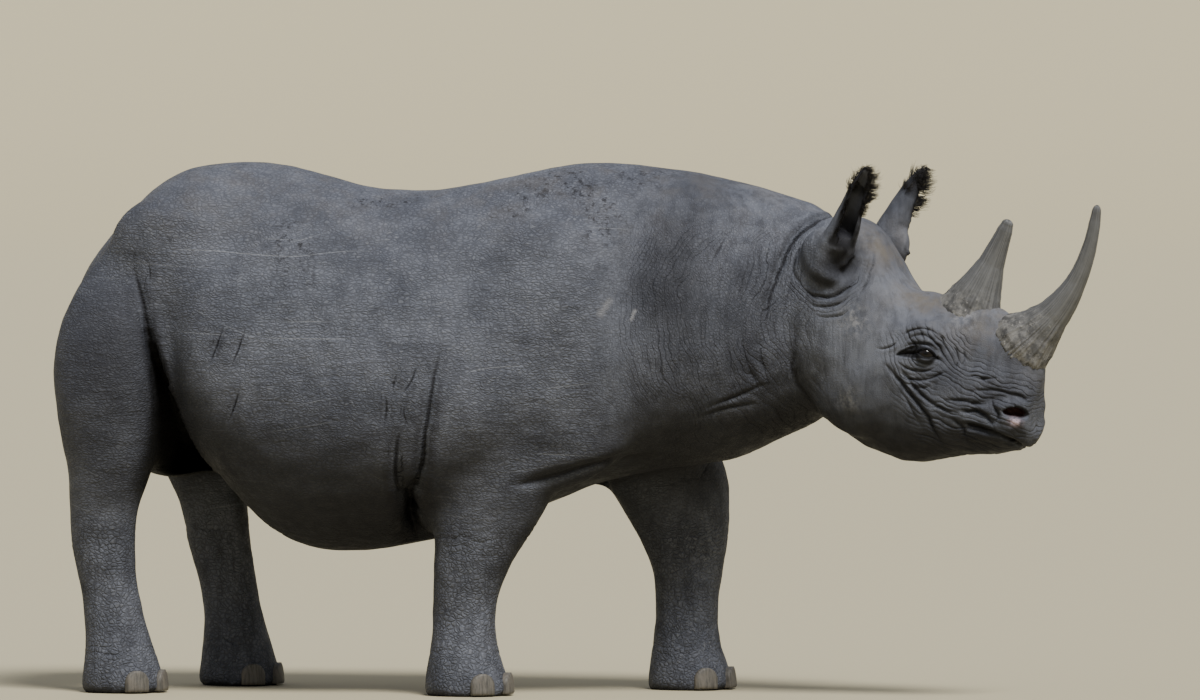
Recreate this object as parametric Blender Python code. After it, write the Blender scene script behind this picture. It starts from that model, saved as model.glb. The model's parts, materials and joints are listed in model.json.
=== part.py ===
"""A life-size black rhinoceros, standing in mid-stride with its head turned a little to its right.

Metres throughout: +X runs towards the head, +Y to the animal's left, +Z up, and the feet stand on
z = 0. The flesh is modelled whole, from lofted forms that follow the anatomy (barrel, pelvis,
shoulders, neck, skull, muzzle and four legs). They are fused, smoothed and thinned to a light mesh,
and then parted with thin cuts into the pieces that a person would name. Ears, eyes, horns, tail and
toenails are solids of their own, fitted to the flesh with the same thin gap.
"""

import math

import bmesh
import bpy
import numpy as np
from mathutils import Matrix, Vector

# ---------------------------------------------------------------- driving dimensions
GAP = 0.0004  # between two pieces that meet
RING_POINTS = 28  # around each lofted form
RING_STEP = 0.04  # between the rings that a form's stations are filled in with
TAIL_STEP = 0.07
HORN_POINTS, HORN_RINGS = 14, 15
EAR_POINTS, TAIL_POINTS, NAIL_POINTS = 11, 10, 8
EYE_SEGMENTS, EYE_RINGS = 14, 8
SIDES = {"right": -1, "left": 1}

BODY_GRID = 0.016  # the grid that the body's forms are fused on
BODY_BLEND = 26  # passes of smoothing over the creases where they meet
HEAD_GRID = 0.010
HEAD_BLEND = 12
NAPE_BLEND = 4  # where the head joins the body
FLESH_TRIANGLES = 4350

# Barrel and neck: x, back, level of the widest girth, underside, half width, fullness
BARREL = (
    (-1.10, 1.36, 1.02, 0.86, 0.20, 2.0),
    (-1.06, 1.44, 1.00, 0.76, 0.33, 2.1),
    (-1.00, 1.49, 0.97, 0.67, 0.40, 2.1),
    (-0.90, 1.53, 0.93, 0.545, 0.435, 2.1),
    (-0.80, 1.54, 0.90, 0.455, 0.452, 2.1),
    (-0.68, 1.525, 0.88, 0.415, 0.466, 2.1),
    (-0.55, 1.49, 0.87, 0.412, 0.474, 2.1),
    (-0.42, 1.475, 0.87, 0.430, 0.474, 2.1),
    (-0.30, 1.483, 0.88, 0.455, 0.462, 2.1),
    (-0.15, 1.512, 0.90, 0.500, 0.435, 2.1),
    (0.00, 1.546, 0.92, 0.555, 0.402, 2.05),
    (0.15, 1.561, 0.95, 0.615, 0.374, 2.0),
    (0.32, 1.550, 0.98, 0.655, 0.346, 2.0),
    (0.46, 1.530, 1.01, 0.672, 0.318, 2.0),
    (0.56, 1.508, 1.03, 0.690, 0.292, 2.0),
    (0.66, 1.482, 1.06, 0.732, 0.257, 2.0),
    (0.75, 1.454, 1.08, 0.775, 0.235, 2.0),
    (0.83, 1.415, 1.09, 0.818, 0.205, 2.0),
    (0.87, 1.34, 1.09, 0.89, 0.13, 2.0),
)
# Pelvis: the same columns
PELVIS = (
    (-1.415, 1.16, 1.08, 0.97, 0.07, 2.0),
    (-1.40, 1.22, 1.07, 0.86, 0.15, 2.0),
    (-1.35, 1.296, 1.08, 0.76, 0.205, 2.0),
    (-1.27, 1.386, 1.12, 0.68, 0.250, 2.1),
    (-1.19, 1.475, 1.18, 0.63, 0.295, 2.2),
    (-1.10, 1.532, 1.22, 0.62, 0.33, 2.3),
    (-0.98, 1.553, 1.24, 0.66, 0.348, 2.2),
    (-0.86, 1.561, 1.22, 0.74, 0.34, 2.0),
    (-0.75, 1.546, 1.20, 0.84, 0.30, 2.0),
)
# Muscle over the shoulder and the hip, on both sides: centre, then radii
SHOULDER = ((0.03, 0.255, 1.00), (0.33, 0.140, 0.41))
HIP = ((-1.00, 0.205, 1.30), (0.28, 0.115, 0.20))

# Legs: height, half length, half width, distance of the leg's line from the mid-plane. They run
# on below the floor, where the soles are then cut flat
LEG_FULLNESS = 2.2
HIND_LEG = (
    (1.34, 0.080, 0.050, 0.165),
    (1.24, 0.125, 0.085, 0.195),
    (1.12, 0.158, 0.120, 0.225),
    (0.98, 0.170, 0.142, 0.246),
    (0.86, 0.160, 0.144, 0.255),
    (0.76, 0.148, 0.130, 0.255),
    (0.66, 0.128, 0.112, 0.250),
    (0.53, 0.102, 0.090, 0.242),
    (0.43, 0.099, 0.080, 0.238),
    (0.30, 0.088, 0.078, 0.235),
    (0.20, 0.091, 0.088, 0.232),
    (0.10, 0.110, 0.106, 0.232),
    (0.04, 0.122, 0.116, 0.232),
    (-0.12, 0.122, 0.116, 0.232),
)
FORE_LEG = (
    (1.04, 0.190, 0.085, 0.240),
    (0.90, 0.222, 0.122, 0.250),
    (0.76, 0.200, 0.128, 0.252),
    (0.63, 0.190, 0.116, 0.245),
    (0.54, 0.168, 0.104, 0.240),
    (0.45, 0.138, 0.095, 0.235),
    (0.36, 0.110, 0.090, 0.232),
    (0.28, 0.098, 0.084, 0.230),
    (0.18, 0.096, 0.090, 0.230),
    (0.10, 0.110, 0.108, 0.230),
    (0.04, 0.126, 0.120, 0.230),
    (-0.12, 0.126, 0.120, 0.230),
)
# Where each of a leg's stations stands along the body: the right legs are drawn back, the left
# ones set forward
HIND_STANCE = {
    "right": (-1.180, -1.222, -1.253, -1.267, -1.270, -1.269, -1.268,
              -1.292, -1.292, -1.272, -1.256, -1.240, -1.234, -1.234),
    "left": (-1.160, -1.180, -1.170, -1.155, -1.138, -1.118, -1.094,
             -1.056, -1.044, -1.014, -0.996, -0.984, -0.980, -0.980),
}  # fmt: skip
FORE_STANCE = {
    "right": (-0.070, -0.098, -0.112, -0.122, -0.138, -0.165,
              -0.195, -0.210, -0.214, -0.212, -0.204, -0.204),
    "left": (0.110, 0.165, 0.235, 0.305, 0.332, 0.358,
             0.375, 0.374, 0.368, 0.371, 0.380, 0.380),
}  # fmt: skip

# The head has its own axes: forward from where the neck bends, to its left, and up
HEAD_PIVOT = Vector((0.753, -0.04, 0.0))
HEAD_YAW = math.radians(-16)
SKULL = (
    (-0.04, 1.34, 1.10, 0.89, 0.12, 2.0),
    (0.03, 1.385, 1.12, 0.838, 0.185, 2.0),
    (0.10, 1.402, 1.11, 0.805, 0.196, 2.0),
    (0.16, 1.398, 1.08, 0.768, 0.196, 2.0),
    (0.22, 1.376, 1.06, 0.730, 0.190, 2.0),
    (0.28, 1.325, 1.04, 0.708, 0.186, 2.0),
    (0.33, 1.256, 1.02, 0.690, 0.182, 2.05),
    (0.38, 1.206, 1.00, 0.684, 0.174, 2.1),
    (0.43, 1.180, 0.97, 0.690, 0.164, 2.15),
    (0.49, 1.164, 0.94, 0.702, 0.148, 2.2),
    (0.56, 1.146, 0.91, 0.712, 0.132, 2.2),
    (0.62, 1.124, 0.89, 0.714, 0.120, 2.2),
    (0.67, 1.092, 0.87, 0.720, 0.114, 2.2),
    (0.71, 1.040, 0.85, 0.728, 0.106, 2.2),
    (0.745, 0.955, 0.83, 0.745, 0.090, 2.2),
    (0.765, 0.900, 0.82, 0.765, 0.070, 2.0),
)
# Forms that swell out of the skull on both sides: centre, then radii
SWELLINGS = {
    "cheek": ((0.25, 0.095, 0.94), (0.17, 0.095, 0.18)),
    "cheekbone": ((0.36, 0.112, 1.00), (0.15, 0.068, 0.09)),
    "brow": ((0.44, 0.105, 1.055), (0.085, 0.056, 0.060)),
    "nostril": ((0.700, 0.066, 0.83), (0.066, 0.056, 0.066)),
    "ear_bulb": ((0.150, 0.120, 1.235), (0.095, 0.075, 0.095)),
}
# Forms on the head's mid-plane
RIDGES = {
    "poll": ((0.16, 0.0, 1.30), (0.12, 0.13, 0.105)),
    "rear_horn_boss": ((0.565, 0.0, 1.095), (0.12, 0.080, 0.060)),
    "front_horn_boss": ((0.690, 0.0, 1.010), (0.080, 0.086, 0.095)),
    "upper_lip": ((0.715, 0.0, 0.790), (0.052, 0.062, 0.062)),
    "lower_lip": ((0.60, 0.0, 0.748), (0.085, 0.070, 0.036)),
}

EYE_CENTRE = Vector((0.470, 0.142, 1.000))
EYE_RADIUS = 0.024

# Ears: along the ear from its root, half length of the section, half width, and how far the
# slot down its front reaches from the middle to either side, in turns
EAR_ROOT = Vector((0.158, 0.156, 1.245))
EAR_TIP = Vector((0.311, 0.203, 1.548))
EAR_OPENS_TO = Vector((0.72, 0.74, -0.10))
EAR_WALL = 0.009
EAR = (
    (0.00, 0.060, 0.060, 0.03),
    (0.20, 0.058, 0.056, 0.05),
    (0.30, 0.054, 0.050, 0.09),
    (0.45, 0.049, 0.042, 0.13),
    (0.60, 0.043, 0.034, 0.17),
    (0.75, 0.036, 0.031, 0.20),
    (0.88, 0.026, 0.023, 0.23),
    (0.96, 0.015, 0.014, 0.25),
    (1.00, 0.007, 0.007, 0.25),
)

# Horns: along the horn, half length of its section
FRONT_HORN = {
    "root": Vector((0.692, 0.0, 1.022)),
    "rises_from": math.radians(38),
    "rises_to": math.radians(82),
    "length": 0.510,
    "flatness": 0.86,
    "sections": ((0.0, 0.100), (0.06, 0.100), (0.12, 0.088), (0.19, 0.070), (0.30, 0.052),
                 (0.42, 0.041), (0.53, 0.031), (0.66, 0.025), (0.78, 0.0205), (0.89, 0.0175),
                 (0.97, 0.013), (1.0, 0.005)),
}  # fmt: skip
REAR_HORN = {
    "root": Vector((0.530, 0.0, 1.100)),
    "rises_from": math.radians(63),
    "rises_to": math.radians(67),
    "length": 0.328,
    "flatness": 0.72,
    "sections": ((0.0, 0.096), (0.16, 0.091), (0.37, 0.063), (0.57, 0.041), (0.74, 0.031),
                 (0.90, 0.0235), (0.965, 0.017), (1.0, 0.007)),
}  # fmt: skip

# Tail: x, y, z, half length, half width
TAIL = (
    (-1.330, 0.0, 1.235, 0.050, 0.060),
    (-1.375, 0.0, 1.175, 0.046, 0.052),
    (-1.408, 0.0, 1.080, 0.036, 0.040),
    (-1.420, 0.0, 0.960, 0.028, 0.031),
    (-1.418, 0.0, 0.840, 0.022, 0.026),
    (-1.410, 0.0, 0.720, 0.017, 0.024),
    (-1.402, 0.0, 0.620, 0.014, 0.030),
    (-1.398, 0.0, 0.540, 0.012, 0.028),
    (-1.396, 0.0, 0.490, 0.005, 0.012),
)

# Three toenails on the front of each foot: the turn of each from straight ahead, its half width
TOENAILS = {"1": (math.radians(-58), 0.036), "2": (0.0, 0.046), "3": (math.radians(58), 0.036)}
NAIL_CLEAR = 0.005  # above the floor
NAIL_HEIGHT = 0.062
NAIL_THICKNESS = 0.010
NAIL_DEPTH = 0.05  # that it starts with, before what lies in the foot is cut away
NAIL_FULLNESS = 2.4
# Up the nail: height, and how wide and how thick it is there, as shares of the whole
NAIL_SHIELD = ((0.0, 1.0, 1.0), (0.45, 1.0, 0.85), (0.80, 0.80, 0.45), (1.0, 0.35, 0.0))

# The thin cuts. Each leg leaves the trunk under a top that rises outwards, ahead of a back plane
# and behind a front plane, each given where it meets the floor and a metre above it
LEG_CUTS = {
    "hind_right": {"back": (-1.62, -1.62), "front": (-1.06, -1.09), "outer": 1.27, "inner": 0.54},
    "hind_left": {"back": (-1.62, -1.62), "front": (-0.82, -1.00), "outer": 1.27, "inner": 0.54},
    "front_right": {"back": (-0.36, -0.34), "front": (-0.04, 0.20), "outer": 1.04, "inner": 0.49},
    "front_left": {"back": (0.22, -0.08), "front": (0.56, 0.54), "outer": 1.04, "inner": 0.52},
}
LEG_CUT_FROM_MIDDLE = 0.006
LEG_CUT_REACH = 0.60  # outwards
LEG_CUT_DEPTH = 0.20  # below the floor
HEAD_CUT = {"at": Vector((0.050, 0.0, 1.10)), "lean": math.radians(3)}
NECK_CUT = {"at": Vector((0.500, 0.0, 1.10)), "lean": math.radians(-10)}

SHARP_FROM = math.radians(30)  # an edge that turns more than this is drawn sharp
FLESH_ROUGHNESS, EYE_ROUGHNESS = 0.8, 0.15
FLESH_COLOUR = (0.085, 0.087, 0.095)
COLOURS = {
    "ear": (0.070, 0.070, 0.076),
    "eye": (0.012, 0.009, 0.008),
    "horn": (0.110, 0.105, 0.098),
    "nail": (0.130, 0.120, 0.105),
}


# ---------------------------------------------------------------- making and fusing meshes
def filled_in(stations, step=RING_STEP, plan=3):
    """The stations with more between them, on a smooth curve. The first columns are a place."""
    rows = np.array(stations, float)
    gaps = np.linalg.norm(np.diff(rows[:, :plan], axis=0), axis=1)
    along = np.concatenate([[0.0], np.cumsum(gaps)])
    slopes = np.gradient(rows, along, axis=0)
    found = []
    for i, gap in enumerate(gaps):
        count = max(1, round(gap / step))
        for t in np.arange(count) / count:
            rise = t * t * (3 - 2 * t)
            bend = slopes[i] * (t * (1 - t) ** 2) - slopes[i + 1] * (t * t * (1 - t))
            found.append(rows[i] * (1 - rise) + rows[i + 1] * rise + gap * bend)
    found.append(rows[-1])
    return found


def full_circle(fullness=2.0, points=RING_POINTS):
    """(cosine, sine) round a circle, pushed out towards a square as the fullness rises over 2."""
    for k in range(points):
        turn = 2 * math.pi * k / points
        both = (math.cos(turn), math.sin(turn))
        yield tuple(math.copysign(abs(v) ** (2 / fullness), v) for v in both)


def finished(name, mesh):
    """An object in the scene that holds this bmesh, facing out."""
    bmesh.ops.recalc_face_normals(mesh, faces=mesh.faces)
    if mesh.calc_volume(signed=True) < 0:
        bmesh.ops.reverse_faces(mesh, faces=mesh.faces)
    data = bpy.data.meshes.new(name)
    mesh.to_mesh(data)
    mesh.free()
    made = bpy.data.objects.new(name, data)
    bpy.context.scene.collection.objects.link(made)
    return made


def loft(name, rings):
    """One closed body through rings of points that all run the same way round."""
    mesh = bmesh.new()
    loops = [[mesh.verts.new(point) for point in ring] for ring in rings]
    for near, far in zip(loops, loops[1:]):
        for k in range(len(near)):
            after = (k + 1) % len(near)
            mesh.faces.new((near[k], near[after], far[after], far[k]))
    mesh.faces.new(reversed(loops[0]))
    mesh.faces.new(loops[-1])
    return finished(name, mesh)


def upright_loft(name, stations):
    """A body of upright egg-shaped sections: x, top, widest, bottom, half width, fullness."""
    rings = []
    for x, top, widest, bottom, half_width, fullness in filled_in(stations, plan=1):
        ring = []
        for side, rise in full_circle(fullness):
            reach = top - widest if rise > 0 else widest - bottom
            ring.append((x, half_width * side, widest + reach * rise))
        rings.append(ring)
    return loft(name, rings)


def leg_loft(name, stations, stance, side):
    """A leg of level sections, placed along the body by its stance."""
    rows = [(x, y, z, a, b) for x, (z, a, b, y) in zip(stance, stations)]
    rings = []
    for x, y, z, half_length, half_width in filled_in(rows):
        circle = full_circle(LEG_FULLNESS)
        rings.append([(x + half_length * c, side * y + half_width * s, z) for c, s in circle])
    return loft(name, rings)


def ball(name, centre, radii, segments=24, rings=16):
    mesh = bmesh.new()
    bmesh.ops.create_uvsphere(mesh, u_segments=segments, v_segments=rings, radius=1)
    bmesh.ops.scale(mesh, vec=radii, verts=mesh.verts)
    bmesh.ops.translate(mesh, vec=centre, verts=mesh.verts)
    return finished(name, mesh)


def settle(piece):
    """Turns the modifiers of a piece into its mesh."""
    graph = bpy.context.evaluated_depsgraph_get()
    data = bpy.data.meshes.new_from_object(piece.evaluated_get(graph))
    piece.modifiers.clear()
    piece.data = data
    return piece


def discard(*pieces):
    for piece in pieces:
        bpy.data.objects.remove(piece)


def fuse(name, pieces, grid, passes):
    """The pieces as one smooth skin: fused on a grid, with the creases between them blended."""
    mesh = bmesh.new()
    for piece in pieces:
        mesh.from_mesh(piece.data)
    discard(*pieces)
    whole = finished(name, mesh)
    weave = whole.modifiers.new("weave", "REMESH")
    weave.mode = "VOXEL"
    weave.voxel_size = grid
    blend = whole.modifiers.new("blend", "SMOOTH")
    blend.factor = 0.5
    blend.iterations = passes
    return settle(whole)


def boolean(piece, cutter, operation="DIFFERENCE"):
    """The piece less the cutter, or what they share."""
    knife = piece.modifiers.new("cut", "BOOLEAN")
    knife.operation = operation
    knife.object = cutter
    settle(piece)
    return piece


def copy_of(piece, name):
    made = piece.copy()
    made.data = piece.data.copy()
    made.name = name
    bpy.context.scene.collection.objects.link(made)
    return made


def grown(piece):
    """A copy of a piece with its surface moved out by the gap."""
    made = copy_of(piece, piece.name + "_grown")
    swell = made.modifiers.new("grow", "DISPLACE")
    swell.mid_level = 0
    swell.strength = GAP
    return settle(made)


def fit_to(piece, flesh):
    """Cuts from a piece all that lies in the flesh, or within the gap of it."""
    cutter = grown(flesh)
    boolean(piece, cutter)
    discard(cutter)
    return keep_largest(piece)


def keep_largest(piece):
    """Drops any crumb that a cut left beside the main body."""
    mesh = bmesh.new()
    mesh.from_mesh(piece.data)
    left = set(mesh.verts)
    bodies = []
    while left:
        body, edge_of_it = set(), {next(iter(left))}
        while edge_of_it:
            body |= edge_of_it
            near = {e.other_vert(v) for v in edge_of_it for e in v.link_edges}
            edge_of_it = near - body
        left -= body
        bodies.append(body)
    bodies.sort(key=len)
    crumbs = [v for body in bodies[:-1] for v in body]
    bmesh.ops.delete(mesh, geom=crumbs, context="VERTS")
    mesh.to_mesh(piece.data)
    mesh.free()
    return piece


# ---------------------------------------------------------------- the flesh
def on_side(place, side):
    """A place given for the left side, or its mirror image on the right."""
    return Vector((place[0], side * place[1], place[2]))


def head_frame():
    return Matrix.Translation(HEAD_PIVOT) @ Matrix.Rotation(HEAD_YAW, 4, "Z")


def head_forms():
    forms = [upright_loft("skull", SKULL)]
    for name, (centre, radii) in RIDGES.items():
        forms.append(ball(name, centre, radii))
    for name, (centre, radii) in SWELLINGS.items():
        for side in SIDES.values():
            forms.append(ball(name, on_side(centre, side), radii))
    for form in forms:
        form.data.transform(head_frame())
    return forms


def body_forms():
    forms = [upright_loft("barrel", BARREL), upright_loft("pelvis", PELVIS)]
    for name, side in SIDES.items():
        forms.append(leg_loft("hind", HIND_LEG, HIND_STANCE[name], side))
        forms.append(leg_loft("fore", FORE_LEG, FORE_STANCE[name], side))
        for muscle, (centre, radii) in (("shoulder", SHOULDER), ("hip", HIP)):
            forms.append(ball(muscle, on_side(centre, side), radii))
    return forms


def make_flesh():
    body = fuse("body", body_forms(), BODY_GRID, BODY_BLEND)
    head = fuse("head", head_forms(), HEAD_GRID, HEAD_BLEND)
    flesh = fuse("flesh", [body, head], HEAD_GRID, NAPE_BLEND)
    thin = flesh.modifiers.new("thin", "DECIMATE")
    thin.ratio = FLESH_TRIANGLES / (2 * len(flesh.data.vertices))
    thin.use_collapse_triangulate = True
    settle(flesh)
    return flesh


# ---------------------------------------------------------------- parting it
def leg_region(limits, gap=0.0):
    """A block round a leg, with a top that rises outwards to where the leg leaves the body."""
    near, far = LEG_CUT_FROM_MIDDLE - gap, LEG_CUT_REACH + gap
    profile = (
        (near, -LEG_CUT_DEPTH),
        (far, -LEG_CUT_DEPTH),
        (far, limits["outer"] + gap),
        (near, limits["inner"] + gap),
    )
    ends = []
    for (low, high), outward in ((limits["back"], -gap), (limits["front"], gap)):
        ring = [(low + (high - low) * z + outward, limits["side"] * y, z) for y, z in profile]
        ends.append(ring)
    return loft("region", ends)


def half_space(cut, into, gap=0.0):
    """A block that holds all that lies ahead of a leaning plane across the neck."""
    mesh = bmesh.new()
    bmesh.ops.create_cube(mesh, size=2.0)
    bmesh.ops.translate(mesh, vec=(1.0 - gap, 0, 0), verts=mesh.verts)
    block = finished("region", mesh)
    lean = Matrix.Rotation(cut["lean"], 4, "Y")
    block.data.transform(into @ Matrix.Translation(cut["at"]) @ lean)
    return block


def part_off(flesh, name, region):
    """The share of the flesh in a region, given as a function of the gap round it."""
    piece = copy_of(flesh, name)
    inside = region(0.0)
    boolean(piece, inside, "INTERSECT")
    around = region(GAP)
    boolean(flesh, around)
    discard(inside, around)
    return piece


def level_soles(flesh):
    """Cuts the feet flat where they meet the floor, with a block wider than the animal is long."""
    side = 6.0
    mesh = bmesh.new()
    bmesh.ops.create_cube(mesh, size=side)
    bmesh.ops.translate(mesh, vec=(0, 0, -side / 2), verts=mesh.verts)
    floor = finished("floor", mesh)
    boolean(flesh, floor)
    discard(floor)


def part_flesh(flesh):
    level_soles(flesh)
    pieces = {}
    for name, limits in LEG_CUTS.items():
        limits = dict(limits, side=SIDES[name.split("_")[1]])
        leg = "leg_" + name
        pieces[leg] = part_off(flesh, leg, lambda gap, limits=limits: leg_region(limits, gap))
    pieces["head"] = part_off(
        flesh, "head", lambda gap: half_space(HEAD_CUT, head_frame(), gap)
    )
    pieces["neck"] = part_off(
        flesh, "neck", lambda gap: half_space(NECK_CUT, Matrix(), gap)
    )
    flesh.name = "trunk"
    pieces["trunk"] = flesh
    return pieces


# ---------------------------------------------------------------- what stands on the flesh
def make_horn(name, horn):
    """A horn of oval sections on a bow that is steepest in its middle third."""
    place, points = horn["root"].copy(), []
    for k in range(HORN_RINGS + 1):
        along = k / HORN_RINGS
        bow = along * along * (3 - 2 * along)
        slope = horn["rises_from"] + (horn["rises_to"] - horn["rises_from"]) * bow
        ahead = Vector((math.cos(slope), 0, math.sin(slope)))
        across = Vector((-math.sin(slope), 0, math.cos(slope)))
        radius = np.interp(along, *zip(*horn["sections"]))
        ring = []
        for c, s in full_circle(points=HORN_POINTS):
            ring.append(place + across * radius * c + Vector((0, radius * s * horn["flatness"], 0)))
        points.append(ring)
        place = place + ahead * horn["length"] / HORN_RINGS
    made = loft(name, points)
    made.data.transform(head_frame())
    return made


def make_ear(name, side):
    """A leaf rolled into a trumpet: each section is a ring with a slot that widens to the tip."""
    root, tip, opens = (on_side(place, side) for place in (EAR_ROOT, EAR_TIP, EAR_OPENS_TO))
    axis = (tip - root).normalized()
    opens = (opens - axis * opens.dot(axis)).normalized()
    across = axis.cross(opens)
    rings = []
    for along, half_length, half_width, slot in EAR:
        middle = root.lerp(tip, along)
        wall = min(EAR_WALL, 0.45 * half_width)
        turns = np.linspace(slot, 1 - slot, EAR_POINTS) * 2 * math.pi
        outer = [(half_length * math.cos(t), half_width * math.sin(t)) for t in turns]
        thin = [((half_length - wall) * math.cos(t), (half_width - wall) * math.sin(t)) for t in turns]
        rings.append([middle + opens * u + across * v for u, v in outer + thin[::-1]])
    made = loft(name, rings)
    made.data.transform(head_frame())
    return made


def make_tail():
    rings = []
    for x, y, z, half_length, half_width in filled_in(TAIL, TAIL_STEP):
        circle = full_circle(points=TAIL_POINTS)
        rings.append([(x + half_length * c, y + half_width * s, z) for c, s in circle])
    return loft("tail", rings)


def make_nail(name, foot, turn, half_width):
    """A toenail: an upright shield on the rim of the foot, before it is cut to the flesh."""
    centre, radius = foot
    ahead = Matrix.Rotation(turn, 4, "Z") @ Vector((1, 0, 0))
    across = Vector((-ahead.y, ahead.x, 0))
    heart = centre + Vector((ahead.x * radius[0], ahead.y * radius[1], 0))
    rings = []
    for rise, narrow, proud in NAIL_SHIELD:
        ring = []
        for c, s in full_circle(NAIL_FULLNESS, NAIL_POINTS):
            out = NAIL_THICKNESS * proud * c if c > 0 else NAIL_DEPTH * c
            place = heart + ahead * out + across * (half_width * narrow * s)
            ring.append((place.x, place.y, NAIL_CLEAR + NAIL_HEIGHT * rise))
        rings.append(ring)
    return loft(name, rings)


def feet():
    """Each leg's name, and where its foot is: its middle and its half length and half width."""
    for kind, stations, stance in (("front", FORE_LEG, FORE_STANCE), ("hind", HIND_LEG, HIND_STANCE)):
        _, half_length, half_width, out = stations[-2]
        for name, side in SIDES.items():
            middle = Vector((stance[name][-2], side * out, 0))
            yield f"{kind}_{name}", (middle, (half_length, half_width))


def paint(piece, colour, roughness):
    coat = bpy.data.materials.new(piece.name)
    coat.use_nodes = True
    shader = coat.node_tree.nodes["Principled BSDF"]
    shader.inputs["Base Color"].default_value = (*colour, 1)
    shader.inputs["Roughness"].default_value = roughness
    piece.data.materials.clear()
    piece.data.materials.append(coat)
    piece.data.shade_smooth()
    piece.data.set_sharp_from_angle(angle=SHARP_FROM)


def place_on_origin(pieces):
    """Moves the whole animal so that the origin is under the middle of its box."""
    corners = [piece.matrix_world @ v.co for piece in pieces for v in piece.data.vertices]
    low = Vector(min(c[i] for c in corners) for i in range(3))
    high = Vector(max(c[i] for c in corners) for i in range(3))
    shift = Vector((-(low.x + high.x) / 2, -(low.y + high.y) / 2, -low.z))
    for piece in pieces:
        piece.data.transform(Matrix.Translation(shift))
    return shift


def main():
    for old in list(bpy.data.objects):
        bpy.data.objects.remove(old)
    flesh = part_flesh(make_flesh())
    others = {}
    for name, side in SIDES.items():
        centre = head_frame() @ on_side(EYE_CENTRE, side)
        eye = ball("eye_" + name, centre, (EYE_RADIUS,) * 3, EYE_SEGMENTS, EYE_RINGS)
        socket = grown(eye)
        boolean(flesh["head"], socket)
        discard(socket)
        others["eye_" + name] = eye
        others["ear_" + name] = fit_to(make_ear("ear_" + name, side), flesh["head"])
    others["horn_front"] = fit_to(make_horn("horn_front", FRONT_HORN), flesh["head"])
    others["horn_rear"] = fit_to(make_horn("horn_rear", REAR_HORN), flesh["head"])
    others["tail"] = fit_to(make_tail(), flesh["trunk"])
    for leg, foot in feet():
        for number, (turn, half_width) in TOENAILS.items():
            nail = make_nail(f"nail_{leg}_{number}", foot, turn, half_width)
            others[nail.name] = fit_to(nail, flesh["leg_" + leg])
    for name, piece in {**flesh, **others}.items():
        kind = name.split("_")[0]
        roughness = EYE_ROUGHNESS if kind == "eye" else FLESH_ROUGHNESS
        paint(piece, COLOURS.get(kind, FLESH_COLOUR), roughness)
    return place_on_origin([*flesh.values(), *others.values()])


placed_by = main()
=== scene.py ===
"""The looks of a life-size black rhinoceros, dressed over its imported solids.

One seamless hide stands for all of the flesh. It is woven from the solids on a grid that is finer
round the face and the ears, smoothed, and then shaped: lids, nostrils, the mouth's line, the folds
of the neck and legs. Horns, eyeballs and toenails are pieces of their own. Ear fringes, lashes and
the tail's bristles are solid hairs. Lengths are metres. Body places are in the row's frame, and
face places are in the head's own axes: ahead of where the neck bends, to its left, and up.
"""

import functools
import itertools
import json
import math

import bmesh
import bpy
import numpy as np
from mathutils import Matrix, Vector


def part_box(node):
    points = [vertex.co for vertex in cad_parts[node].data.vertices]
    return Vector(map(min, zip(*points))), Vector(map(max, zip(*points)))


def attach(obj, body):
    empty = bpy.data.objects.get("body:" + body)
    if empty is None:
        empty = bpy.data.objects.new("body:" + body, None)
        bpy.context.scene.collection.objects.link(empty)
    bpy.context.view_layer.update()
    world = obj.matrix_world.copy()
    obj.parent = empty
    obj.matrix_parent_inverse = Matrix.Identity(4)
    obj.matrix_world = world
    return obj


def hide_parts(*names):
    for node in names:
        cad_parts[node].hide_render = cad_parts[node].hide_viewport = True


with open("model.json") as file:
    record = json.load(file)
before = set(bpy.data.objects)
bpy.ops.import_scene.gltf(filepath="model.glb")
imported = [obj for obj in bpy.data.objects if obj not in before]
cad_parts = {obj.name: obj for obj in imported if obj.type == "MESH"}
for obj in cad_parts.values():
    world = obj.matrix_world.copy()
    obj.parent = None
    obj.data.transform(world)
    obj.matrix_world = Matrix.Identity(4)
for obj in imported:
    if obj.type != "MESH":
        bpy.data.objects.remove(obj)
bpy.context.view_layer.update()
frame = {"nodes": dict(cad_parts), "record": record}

# ---------------------------------------------------------------- driving dimensions
FLESH = (
    "trunk", "neck", "head", "ear_right", "ear_left", "tail",
    "leg_front_right", "leg_front_left", "leg_hind_right", "leg_hind_left",
)
SIDES = {"right": -1, "left": 1}
SEED = 11
GRID = 0.0150  # of the hide's weave, in space that is spread first
SWELL = 0.0010  # so that the solids run into each other before they are woven into one
SMOOTHING, EAR_SMOOTHING = 30, 7  # rounds
EYE_AHEAD = 0.470  # of where the neck bends
HIP_HEIGHT = 1.30  # the stride of the left legs fades out towards it


def middle(node):
    """The middle of a solid."""
    low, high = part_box(node)
    return (low + high) / 2


def mount(name):
    """The place of one of the row's mounts."""
    return next(Vector(m["pos_m"]) for m in frame["record"]["mounts"] if m["name"] == name)


EYES = {side: middle("eye_" + side) for side in SIDES}
EYE_RADIUS = (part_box("eye_left")[1].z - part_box("eye_left")[0].z) / 2
LEFTWARD = (EYES["left"] - EYES["right"]).normalized()
AHEAD = Vector((LEFTWARD.y, -LEFTWARD.x, 0))
HEAD_ORIGIN = (EYES["left"] + EYES["right"]) / 2 - AHEAD * EYE_AHEAD
HEAD_ORIGIN.z = 0
HEAD_AXES = np.array((AHEAD, LEFTWARD, (0, 0, 1)), float)
EYE_OUT = (EYES["left"] - EYES["right"]).length / 2
EYE_LEVEL = EYES["left"].z


def to_head(points):
    """Places of the row's frame in the head's own axes."""
    return (np.asarray(points, float) - np.array(HEAD_ORIGIN)) @ HEAD_AXES.T


def from_head(points):
    """Undoes to_head."""
    return np.asarray(points, float) @ HEAD_AXES + np.array(HEAD_ORIGIN)


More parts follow.
